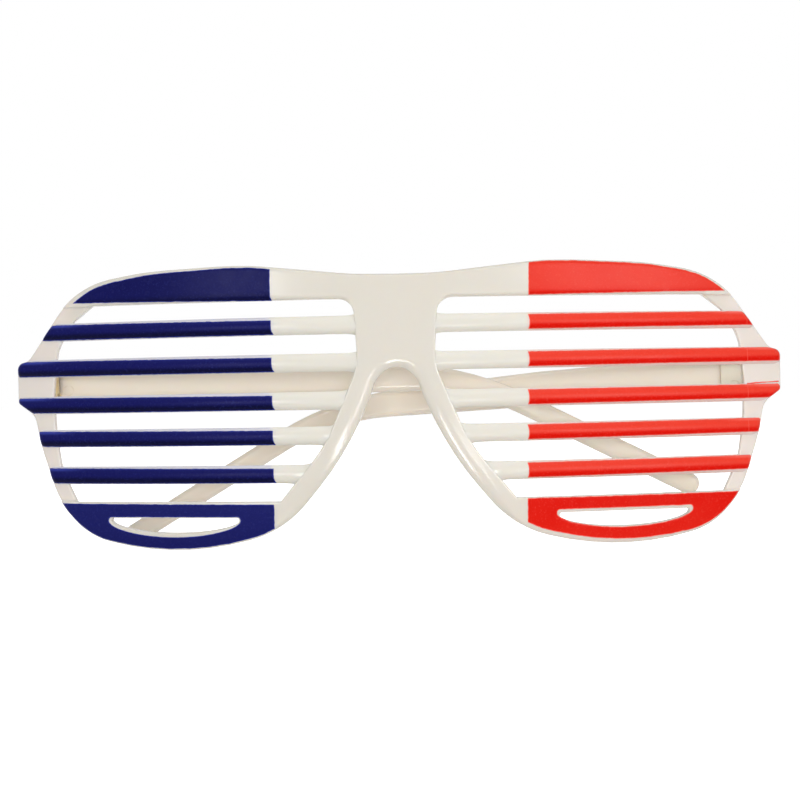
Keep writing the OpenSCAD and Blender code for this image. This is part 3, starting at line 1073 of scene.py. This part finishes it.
# %% Walls for the rays, and the bars' heights
def ribbon(name, loops):
    """Walls of the flat drawing, as a mesh that rays can meet."""
    flat = np.vstack(loops)
    vertices = np.vstack([np.insert(flat, 1, y, axis=1) for y in (-1.0, 1.0)])
    here, there = neighbours(loops)
    faces = np.stack([here, there, there + len(flat), here + len(flat)], 1)
    return add_mesh(name, vertices, faces.tolist())


def bar_points(name, sides):
    """One point for each bar: its side as the sign of X, and its height as Z."""
    return add_mesh(name, [(side, 0, z) for side in sides for z in BAR_Z])


walls = ribbon("outline_walls", [outer_loop, hole_loops[0], hole_loops[1]])
print("bars at z", [round(z, 2) for z in BAR_Z], "mm")

# %% [markdown]
# ## The section of a bar
#
# A bar's face is crowned, with its crest a little below the middle, and its back is flat with two
# small radii. The section is a closed curve, which a Curve to Mesh node can sweep.

# %% Section of a bar
CREST_Z = -0.35
CROWN_POWER = 2.2
BAR_BACK = FRONT_T - 0.2
BAR_EDGE_R = 0.35
BAR_SIDE_END = BAR_BACK - 0.8


def crest_depth(z):
    """Depth of a bar's rounded face at a height from its middle."""
    away = z - CREST_Z
    reach = BAR_H / 2 - np.sign(away) * CREST_Z
    return BAR_INSET + BAR_CROWN * np.abs(away / reach) ** CROWN_POWER


def bar_section():
    half = BAR_H / 2
    heights = half * np.sin(np.linspace(-1, 1, 25) * math.pi / 2)
    face = np.stack([crest_depth(heights), heights], 1)
    corner = rounded([
        (BAR_SIDE_END, half, 0),
        (BAR_BACK, half, BAR_EDGE_R),
        (BAR_BACK, -half, BAR_EDGE_R),
        (BAR_SIDE_END, -half, 0),
    ])
    return np.vstack([face, corner])


def section_curve(name, points):
    """A closed curve for sweeping: curve X is minus the depth, curve Y is minus the height."""
    data = bpy.data.curves.new(name, "CURVE")
    line = data.splines.new("POLY")
    line.points.add(len(points) - 1)
    for point, (depth, height) in zip(line.points, points):
        point.co = (-depth * MM, -height * MM, 0, 1)
    line.use_cyclic_u = True
    return add_object(name, data)


section = section_curve("bar_section", bar_section())
print("a bar is", BAR_H, "mm high and", round(BAR_BACK - BAR_INSET, 2), "mm thick")

# %% [markdown]
# ## What the trees of bars and print share
#
# Both trees sweep a section along a line of length one, at a point for each bar, and keep two
# places before they move anything: the bar's point, and the place on the unmoved sweep. All the
# rules after that are arithmetic on these two.

# %% Shared parts of the trees
END_STEP = 0.12 * MM
TAPER_W = 0.8 * MM
TAPER_DEPTH = 0.5 * MM
OUTSIDE_X = 0.2


def start_tree(name, sizes):
    """A geometry tree with inputs for the walls, the section, the finish and named sizes."""
    tree = bpy.data.node_groups.new(name, "GeometryNodeTree")
    for item, kind in (("Geometry", "Geometry"), ("Walls", "Object"), ("Section", "Object"),
                       ("Finish", "Material")):
        tree.interface.new_socket(item, in_out="INPUT", socket_type="NodeSocket" + kind)
    for size, value in sizes.items():
        made = tree.interface.new_socket(size, in_out="INPUT", socket_type="NodeSocketFloat")
        made.default_value = value
    tree.interface.new_socket("Geometry", in_out="OUTPUT", socket_type="NodeSocketGeometry")
    given = tree.nodes.new("NodeGroupInput").outputs
    return tree, {socket.name: Number(socket) for socket in given if socket.name}


def captured(tree, geometry, place):
    """Keeps the places of the geometry's points as they are now."""
    made = add_node(tree, "GeometryNodeCaptureAttribute", {"Geometry": geometry}, domain="POINT")
    made.capture_items.new("VECTOR", "place")
    feed(made.inputs["place"], place)
    return made.outputs


def swept_bars(tree, given, steps):
    """The swept section at each point, with the numbers of the bar's point and of the sweep."""
    place = add_node(tree, "GeometryNodeInputPosition").outputs[0]
    bars = captured(tree, given["Geometry"], place)
    line = add_node(tree, "GeometryNodeCurvePrimitiveLine", {"End": (1, 0, 0)})
    line = add_node(tree, "GeometryNodeResampleCurve", {"Curve": line.outputs[0], "Count": steps})
    shape = add_node(tree, "GeometryNodeObjectInfo", {"Object": given["Section"]}).outputs["Geometry"]
    sweep = {"Curve": line.outputs[0], "Profile Curve": shape, "Fill Caps": True}
    swept = add_node(tree, "GeometryNodeCurveToMesh", sweep)
    local = captured(tree, swept.outputs[0], place)
    copies = {"Points": bars["Geometry"], "Instance": local["Geometry"]}
    copies = add_node(tree, "GeometryNodeInstanceOnPoints", copies)
    real = add_node(tree, "GeometryNodeRealizeInstances", {"Geometry": copies.outputs[0]})
    return real.outputs[0], axes(bars["place"]), axes(local["place"])


def wall_x(tree, given, side, start, z):
    """Distance from the middle at which a ray towards the nose meets a wall."""
    walls_geometry = add_node(tree, "GeometryNodeObjectInfo", {"Object": given["Walls"]}).outputs["Geometry"]
    hit = add_node(tree, "GeometryNodeRaycast", {
        "Target Geometry": walls_geometry, "Source Position": vector(side * start, 0, z),
        "Ray Direction": vector(-side, 0, 0), "Ray Length": 1.0})
    return abs(axes(hit.outputs["Hit Position"])[0])


def wrap_nodes(x, depth, z, wrap_radius):
    """Place in space of a point on the wrapped front, as wrapped() gives it for meshes."""
    radius = wrap_radius - depth
    return vector(x, wrap_radius - (radius * radius - x * x).root(), z)


def end_taper(outer, reach):
    """How far a bar's face falls back over the last bit before its outer end."""
    near = 1 - (outer - reach) / TAPER_W
    return near.highest(0) ** 2 * TAPER_DEPTH


def end_tree(tree, given, geometry):
    done = add_node(tree, "GeometryNodeSetMaterial", {"Geometry": geometry, "Material": given["Finish"]})
    feed(tree.nodes.new("NodeGroupOutput").inputs["Geometry"], done.outputs[0])
    return tree


# %% [markdown]
# ## The tree of the louvre bars
#
# Towards the nose a bar runs on into the rim, where it flares a little, as molten plastic does at a
# root. Towards the temple it ends just short of the outline and its face falls back. The steps of
# the sweep are denser at the root, because the flare needs them there.

# %% Tree of the louvre bars
FLARE_W = 0.7 * MM
FLARE_FORWARD = 0.8
FLARE_UP = 0.16
DENSER_AT_ROOT = 1.7
DOUBLES_WITHIN = 0.002 * MM


def louvre_tree():
    tree, given = start_tree("louvre_bars", {
        "Wrap radius": WRAP_R * MM, "Ray start": LIP_MID * MM, "Root in the rim": 1.6 * MM,
        "Inset": BAR_INSET * MM})
    mesh, bar, own = swept_bars(tree, given, steps=90)
    side = bar[0].sign()
    z = bar[2] + own[2]
    outer = wall_x(tree, given, side, OUTSIDE_X, z) - END_STEP
    rim = wall_x(tree, given, side, given["Ray start"], z)
    inner = rim - given["Root in the rim"]
    reach = between(own[0] ** DENSER_AT_ROOT, inner, outer)
    flare = 2.718 ** -((reach - rim) / FLARE_W).highest(0)
    depth = flare * -FLARE_FORWARD * given["Inset"] + own[1] + end_taper(outer, reach)
    height = z + own[2] * (flare * FLARE_UP)
    final = wrap_nodes(reach * side, depth, height, given["Wrap radius"])
    shaped = add_node(tree, "GeometryNodeSetPosition", {"Geometry": mesh, "Position": final})
    return end_tree(tree, given, shaped.outputs[0])


def baked(name, source, tree, inputs):
    """The result of a geometry tree as a plain mesh object, without doubles, faces outwards."""
    modifier = source.modifiers.new("shape", "NODES")
    modifier.node_group = tree
    for item in tree.interface.items_tree:
        if item.item_type == "SOCKET" and item.in_out == "INPUT" and item.name in inputs:
            modifier[item.identifier] = inputs[item.name]
    bpy.context.view_layer.update()
    result = source.evaluated_get(bpy.context.evaluated_depsgraph_get())
    mesh = bpy.data.meshes.new_from_object(result)
    mesh.name = name
    bpy.data.objects.remove(source)
    shape = bmesh.new()
    shape.from_mesh(mesh)
    bmesh.ops.remove_doubles(shape, verts=shape.verts, dist=DOUBLES_WITHIN)
    bmesh.ops.recalc_face_normals(shape, faces=shape.faces)
    shape.to_mesh(mesh)
    shape.free()
    return finished(add_object(name, mesh), None)


louvre_bars = baked("louvre_bars", bar_points("bar_heights", (1, -1)), louvre_tree(),
                    {"Walls": walls, "Section": section, "Finish": bar_plastic_painted_lighter})

# %% [markdown]
# ## The print on brow and lips
#
# The print on the brow and on the bottom lip is a thin coat with a slightly ragged outline. Each
# patch is drawn flat, like the plate: it follows the outline of the front at a small distance, then
# the edge of the louvre opening, then the straight inner edge. The same plate function gives it a
# top just proud of the plastic and an underside just inside it.

# %% Drawing of a print patch
INK_PROUD = 0.045
INK_SUNK = 0.05
PATCH_FROM = 24
PATCH_TO = 64
PATCH_MID = 45
PATCH_STEP = 0.25
START_H = 0.8
RAGGED = 0.06
RAGGED_SLOT = 0.05
WAVES = ((0.55, 1.6), (0.45, 0.5))
print_random = np.random.default_rng(7)


def inner_edge(side, z):
    """Distance from the middle of the front at which the print begins."""
    return 23.4 if side < 0 else 24.7 + 0.022 * z


def waver(along, spacing):
    """Smooth random values from -1 to 1 along a closed line."""
    count = max(6, round(along[-1] / spacing))
    values = print_random.uniform(-1, 1, count)
    values = np.append(values, values[0])
    place = along / along[-1] * count
    low = np.minimum(place.astype(int), count - 1)
    return values[low] + (values[low + 1] - values[low]) * smooth(place - low)


def ragged(loop, amount):
    along = np.cumsum(np.linalg.norm(np.diff(loop, axis=0, prepend=loop[-1:]), axis=1))
    shift = sum(share * waver(along, length) for share, length in WAVES)
    return loop + inward_of(loop) * (amount * shift)[:, None]


def patch_loop(side, upper, borders, levels, hook):
    """Print on the brow (upper) or on the lip: borders and levels hold inner and outer values."""
    half = outer_loop[outer_loop[:, 0] > 0]
    reach = np.clip((half[:, 0] - PATCH_FROM) / (PATCH_TO - PATCH_FROM), 0, 1)
    border = borders[0] + (borders[1] - borders[0]) * reach ** 2
    line = half + left_of(np.gradient(half, axis=0)) * border[:, None]
    reach = np.clip((line[:, 0] - PATCH_FROM) / (PATCH_TO - PATCH_FROM), 0, 1)
    level = levels[0] + (levels[1] - levels[0]) * reach
    way = 1 if upper else -1
    start = inner_edge(side, levels[0])
    line = line[(way * (line[:, 1] - level) > 0) & (line[:, 0] > start)]
    line = line[np.argsort(np.arctan2(way * (line[:, 1] - levels[0]), line[:, 0] - PATCH_MID))]
    corners = [(start - hook, levels[0]), (start, levels[0] + way * START_H),
               (inner_edge(side, line[-1][1]), line[-1][1])]
    drawn = np.vstack([line, corners[::-1]])
    return ordered(ragged(ordered(evenly(drawn, PATCH_STEP), True), RAGGED) * (side, 1), True)


def slot_loop(side, sides):
    """Where the print stops round a lip slot: the slot, moved out to the left, right, down and up."""
    left, right, down, up = sides
    loop = lip_slot * (side, 1)
    low, high = loop.min(0), loop.max(0)
    share = (loop - low) / (high - low)
    wider = low - (left, down) + share * (high - low + (left + right, down + up))
    return ragged(ordered(evenly(wider, PATCH_STEP), False), RAGGED_SLOT)


# %% [markdown]
# ## The patches
#
# The coat value is even on the brow and paints shade in its lowest millimetre, where the brow's edge
# rounds away. On the lips it is dark all over the red one and light all over the blue one. Each patch
# gets its coat value and its distance from the edge as attributes, because the finish can't know them
# from the place alone.

# %% Print meshes
INK_RINGS = [0.08, 0.2, 0.4, 0.65, 0.95]


# Painted shade: darker towards the brow's lower edge.
def brow_tone_with_painted_shade(flat):
    return 0.3 + 0.6 * (1 - smooth((flat[:, 1] - LENS_TOP) / 1.8))


def blue_lip_tone(flat):
    return 0.1 * smooth((LENS_BOTTOM - flat[:, 1]) / LIP_H) - 0.2


def red_lip_tone(flat):
    return 0.85 - 0.15 * smooth((LENS_BOTTOM - flat[:, 1]) / LIP_H)


def set_attribute(piece, name, values):
    made = piece.data.attributes.new(name, "FLOAT", "POINT")
    made.data.foreach_set("value", values)


def ink_piece(name, loops, finish, coat):
    def skin_at(shift):
        def place(flat):
            placed = front_skin(flat)
            placed[:, 1] += shift
            return placed
        return place

    vertices, faces = plate(loops, skin_at(-INK_PROUD), skin_at(INK_SUNK), INK_RINGS, [], spacing=0.5)
    piece = add_piece(name, vertices, faces, finish)
    flat = np.asarray(vertices)[:, [0, 2]]
    set_attribute(piece, "edge_mm", np.abs(depth_in(flat, loops)))
    set_attribute(piece, "coat", coat(flat))
    return piece


SMEAR = [(67.8, -4.45), (74.6, -4.15), (74.65, -3.9), (69.6, -4.12), (67.8, -4.25)]
blue_brow = ink_piece("blue_ink_brow", [
    patch_loop(-1, True, (0.4, 1.0), (LENS_TOP - 0.1, LENS_TOP + 0.5), hook=0.3),
], blue_ink, brow_tone_with_painted_shade)
blue_lip = ink_piece("blue_ink_lip", [
    patch_loop(-1, False, (0.3, 0.2), (LENS_BOTTOM - 0.45, LENS_BOTTOM), hook=0),
    slot_loop(-1, (0.5, 0.2, 0.7, 0.15)),
], blue_ink, blue_lip_tone)
red_brow = ink_piece("red_ink_brow", [
    patch_loop(1, True, (0.2, 0.5), (LENS_TOP + 0.1, LENS_TOP + 0.6), hook=0),
], red_ink, brow_tone_with_painted_shade)
red_lip = ink_piece("red_ink_lip", [
    patch_loop(1, False, (0.95, 0.3), (LENS_BOTTOM - 0.1, LENS_BOTTOM + 0.1), hook=0),
    slot_loop(1, (0.45, 0.65, 0.12, 0.55)),
], red_ink, red_lip_tone)
smear_line = ordered(ragged(ordered(evenly(np.array(SMEAR), 0.2), True), RAGGED), True)
red_smear = ink_piece("red_ink_smear", [smear_line], red_ink, red_lip_tone)
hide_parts("blue_print_brow")
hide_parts("blue_print_lip")
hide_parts("red_print_brow")
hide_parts("red_print_lip")

# %% [markdown]
# ## The print on the bars
#
# On the bars the print repeats as the bars do, so a second tree makes it. It sweeps a thin flat
# band, lays it on the bar's rounded face, starts it at the printed edge and ends it at the outline.
# Noise moves the band's long edges, and the tree stores the distance to the nearest edge.

# %% Band of print
BAND_POINTS = 21
GRAIN_ALONG = 50
GRAIN_APART = 900
BAND_END = 0.12 * MM


def band_section():
    across = np.linspace(-1, 1, BAND_POINTS)
    top = np.stack([np.full(BAND_POINTS, -INK_PROUD), across], 1)
    under = np.stack([np.full(BAND_POINTS, INK_SUNK), across[::-1]], 1)
    return np.vstack([top, under])


def crest_nodes(z, given):
    """Depth of a bar's face at a height in metres, as crest_depth() gives it."""
    away = z - CREST_Z * MM
    reach = away.sign() * (-CREST_Z * MM) + given["Half height"]
    return abs(away / reach) ** CROWN_POWER * given["Crown"] + given["Inset"]


def stored(geometry, name, value):
    inputs = {"Geometry": geometry, "Name": name, "Value": value}
    return add_node(geometry.id_data, "GeometryNodeStoreNamedAttribute", inputs,
                    data_type="FLOAT", domain="POINT").outputs[0]


band = section_curve("print_band", band_section())
print("the print stands", INK_PROUD, "mm proud of the plastic")

# %% [markdown]
# ## The tree of the print
#
# The band's height from -1 to 1 becomes a height between two borders, which shift along the bar.
# At the inner edge the pad left a small hook at each foot on the blue side and a hollow on the red
# one. The coat value paints shade low on the bar, lifts a little at its very foot, and paints a
# highlight along its top.

# %% Tree of the print
BLUE_SIZES = {
    "Wrap radius": WRAP_R, "Half height": BAR_H / 2, "Crown": BAR_CROWN, "Inset": BAR_INSET,
    "Top border inside": 0.58, "Top border outside": 0.26, "Bottom border inside": 0.08,
    "Bottom border outside": 0.15, "Edge": 23.4, "Hook": 0.5, "Hollow": 0.0, "Ragged": RAGGED}
RED_SIZES = {
    "Edge": 24.7, "Hook": 0.0, "Hollow": 0.25, "Top border inside": 0.3, "Top border outside": 0.12,
    "Bottom border inside": 0.28, "Bottom border outside": 0.6}

# Painted shade low on each bar, lifted a little at its foot, and a painted highlight along its top that is
# strongest towards the outer end.
PAINTED_SHADE_ENDS = (0.14, 0.62)
LIGHTER_FOOT = (0.0, 0.16)
PAINTED_HIGHLIGHT_TOP = (0.68, 1.0)
PAINTED_HIGHLIGHT_BEGINS = (0.8, 0.97)
PAINTED_HIGHLIGHT_INSIDE = 0.25


def in_metres(sizes):
    return {name: size * MM for name, size in sizes.items()}


def print_tree():
    tree, given = start_tree("bar_print", {
        **in_metres(BLUE_SIZES), "Edge slope": 0.0, "Lighter foot": 0.6, "Seed": 3.0})
    mesh, bar, own = swept_bars(tree, given, steps=140)
    side = bar[0].sign()
    across = own[2] / MM
    share = across * 0.5 + 0.5
    top, bottom = [between(own[0], given[edge + " inside"], given[edge + " outside"])
                   for edge in ("Top border", "Bottom border")]
    low = bottom - given["Half height"]
    high = given["Half height"] - top
    spot = vector(own[0] * GRAIN_ALONG, bar[2] * GRAIN_APART + given["Seed"], across.sign())
    grain = noise(spot, scale=1.0, detail=3.0, roughness=0.65) - 0.5
    z = grain * 4 * given["Ragged"] * abs(across) ** 4 + between(share, low, high)
    height = bar[2] + z
    wall = wall_x(tree, given, side, OUTSIDE_X, height) - END_STEP
    outer = wall - BAND_END
    hook = (-across).highest(0) ** 2 * given["Hook"]
    hollow = (1 - across * across) * given["Hollow"]
    inner = bar[2] * given["Edge slope"] + given["Edge"] - hook + hollow
    reach = between(own[0], inner, outer)
    depth = own[1] + crest_nodes(z, given) + end_taper(wall, reach)
    final = wrap_nodes(reach * side, depth, height, given["Wrap radius"])
    shaped = add_node(tree, "GeometryNodeSetPosition", {"Geometry": mesh, "Position": final})
    sides = (reach - inner).lowest(outer - reach)
    rims = (z - low).lowest(high - z)
    edged = stored(shaped.outputs[0], "edge_mm", sides.lowest(rims).highest(0) / MM)
    # Painted shade low on the bar and a painted highlight along its top, both carried by the coat value.
    body = 1 - ramp(share, *PAINTED_SHADE_ENDS)
    lighter_foot = 1 - (1 - ramp(share, *LIGHTER_FOOT)) * given["Lighter foot"]
    outwards = between(ramp(own[0], *PAINTED_HIGHLIGHT_BEGINS), PAINTED_HIGHLIGHT_INSIDE, 1)
    coat = body * lighter_foot - ramp(share, *PAINTED_HIGHLIGHT_TOP) * outwards
    return end_tree(tree, given, stored(edged, "coat", coat))


bar_print = print_tree()
blue_bars = baked("blue_ink_bars", bar_points("blue_heights", (-1,)), bar_print,
                  {"Walls": walls, "Section": band, "Finish": blue_ink, "Seed": 11.0})
red_bars = baked("red_ink_bars", bar_points("red_heights", (1,)), bar_print,
                 {"Walls": walls, "Section": band, "Finish": red_ink, **in_metres(RED_SIZES),
                  "Edge slope": 0.022, "Lighter foot": 0.2, "Seed": 29.0})
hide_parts(*[f"blue_print_bar_{i}" for i in range(1, 6)])
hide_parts(*[f"red_print_bar_{i}" for i in range(1, 6)])

# %% [markdown]
# ## The stage
#
# The photograph is a cut-out on plain white. A floor far larger than the picture stands under the
# glasses. To the camera and to reflections it looks lit from inside, so that it is pure white, but
# as a source of light it is an ordinary matt floor, so that it doesn't flood the glasses from below.

# %% Floor
FLOOR_HALF = 3000


def seen_rays(tree):
    """1 for rays of the camera and of reflections, 0 for those that only carry light."""
    rays = add_node(tree, "ShaderNodeLightPath").outputs
    mirrored = Number(rays["Is Glossy Ray"]).highest(rays["Is Transmission Ray"])
    return mirrored.highest(rays["Is Camera Ray"])


def stage_finish(name):
    finish = bpy.data.materials.new(name)
    finish.use_nodes = True
    tree = finish.node_tree
    tree.nodes.remove(tree.nodes["Principled BSDF"])
    matt = add_node(tree, "ShaderNodeBsdfDiffuse", {"Color": (0.9, 0.9, 0.9, 1)}).outputs[0]
    glow = add_node(tree, "ShaderNodeEmission", {"Color": (1, 1, 1, 1), "Strength": 0.75}).outputs[0]
    both = add_node(tree, "ShaderNodeAddShader", {0: matt, 1: glow}).outputs[0]
    shown = add_node(tree, "ShaderNodeMixShader", {0: seen_rays(tree), 1: matt, 2: both})
    feed(tree.nodes["Material Output"].inputs["Surface"], shown.outputs[0])
    return finish


FLOOR_Z = cad_box[0][2] / MM
floor_corners = [(x * FLOOR_HALF, y * FLOOR_HALF, FLOOR_Z) for x, y in ((-1, -1), (1, -1), (1, 1), (-1, 1))]
floor = add_mesh("floor", floor_corners, [(0, 1, 2, 3)])
floor.data.materials.append(stage_finish("white_floor"))
print("floor at z", round(FLOOR_Z, 2), "mm")

# %% [markdown]
# ## The lights
#
# A product photograph is lit by large soft boxes. The fills here give the even light and are hidden
# from reflections. The streaks and the glint do the opposite: they show only as the bright lines
# that the photograph has on the rims and beside the nose. The floor hides whatever stands below
# it, so of the left glint only the upper third shines.

# %% Lights
LAMP_AWAY = 0.9


def area_light(name, size, power, diffuse, glossy):
    data = bpy.data.lights.new(name, "AREA")
    data.shape = "RECTANGLE"
    data.size, data.size_y = size
    data.energy = power
    lamp = add_object(name, data)
    lamp.visible_diffuse = diffuse
    lamp.visible_glossy = glossy
    lamp.visible_camera = False
    return lamp


def soft_light(name, azimuth, elevation, size, power, diffuse=True, glossy=True,
               away=LAMP_AWAY, at=(0, 0, 0)):
    """A light that looks at a point in millimetres from an angle in degrees."""
    lamp = area_light(name, size, power, diffuse, glossy)
    a, e = math.radians(azimuth), math.radians(elevation)
    way = Vector((math.sin(a) * math.cos(e), -math.cos(a) * math.cos(e), math.sin(e)))
    lamp.location = Vector(at) * MM + way * away
    lamp.rotation_mode = "QUATERNION"
    lamp.rotation_quaternion = (-way).to_track_quat("-Z", "Y")


def rod_light(name, first, last, target, width, power):
    """A narrow light for reflections, between two points in millimetres, that faces a target."""
    first, last, target = (Vector(point) * MM for point in (first, last, target))
    lamp = area_light(name, (width * MM, (last - first).length), power, diffuse=False, glossy=True)
    along = (last - first).normalized()
    back = (first + last) / 2 - target
    back = (back - along * back.dot(along)).normalized()
    turn = Matrix((along.cross(back), along, back)).transposed().to_4x4()
    lamp.matrix_world = Matrix.Translation((first + last) / 2) @ turn


soft_light("top_box", 0, 60, (1.0, 0.6), 2.2)
soft_light("lens_fill", 3, 3, (0.4, 0.2), 2.6, glossy=False)
soft_light("left_fill", -25, 4, (0.3, 0.3), 0.35, glossy=False)
soft_light("front_fill", 35, 8, (1.0, 0.5), 1.9, glossy=False)
soft_light("back_fill", 180, 25, (1.0, 0.6), 2.2, glossy=False)
soft_light("left_streak", -26, 11, (0.18, 0.24), 1.0, diffuse=False)
soft_light("right_streak", 34, 11, (0.38, 0.28), 3.0, diffuse=False)
soft_light("left_glint", 18, -14, (0.02, 0.06), 0.03, diffuse=False, away=0.13, at=(-11, 5, -15))
rod_light("nose_streak", (-7.2, -52, -20.5), (5.9, -36.8, -33.7), (10.9, 5, -15.5), 6, 0.008)
print("lights", len(bpy.data.lights))

# %% [markdown]
# ## The sky
#
# Behind everything the picture is pure white, but a white sky of that strength would light the
# glasses flat. So the sky is white to the camera and to reflections, and dimmer as a light.

# %% Sky
DAYLIGHT = 0.3
world = bpy.data.worlds.new("studio")
bpy.context.scene.world = world
world.use_nodes = True
world_tree = world.node_tree
world_tree.nodes.clear()
level = between(seen_rays(world_tree), DAYLIGHT, 1)
sky = add_node(world_tree, "ShaderNodeBackground", {"Color": (1, 1, 1, 1), "Strength": level})
add_node(world_tree, "ShaderNodeOutputWorld", {"Surface": sky.outputs[0]})
print("the sky lights with", DAYLIGHT, "of its brightness")

# %% [markdown]
# ## Riding, and the end
#
# Every dressed piece rides a body of the imported model, so that the temples still turn on their
# hinges. The pins stay as the CAD made them and only get their finish.

# %% Bodies and the pins' finish
for leftover in (walls, section, band):
    bpy.data.objects.remove(leftover)
FRONT_PIECES = (
    ("white_plastic", (front_moulding, hinge_blocks, louvre_bars)),
    ("blue_lacquer", (blue_brow, blue_bars, blue_lip)),
    ("red_lacquer", (red_brow, red_bars, red_lip, red_smear)),
)
for slot, pieces in FRONT_PIECES:
    for piece in pieces:
        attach(piece, "front")
for piece, body in ((right_temple, "right_arm"), (left_temple, "left_arm")):
    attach(piece, body)
for name in ("right_hinge_pin", "left_hinge_pin"):
    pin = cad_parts[name]
    pin.data.materials.clear()
    pin.data.materials.append(steel)
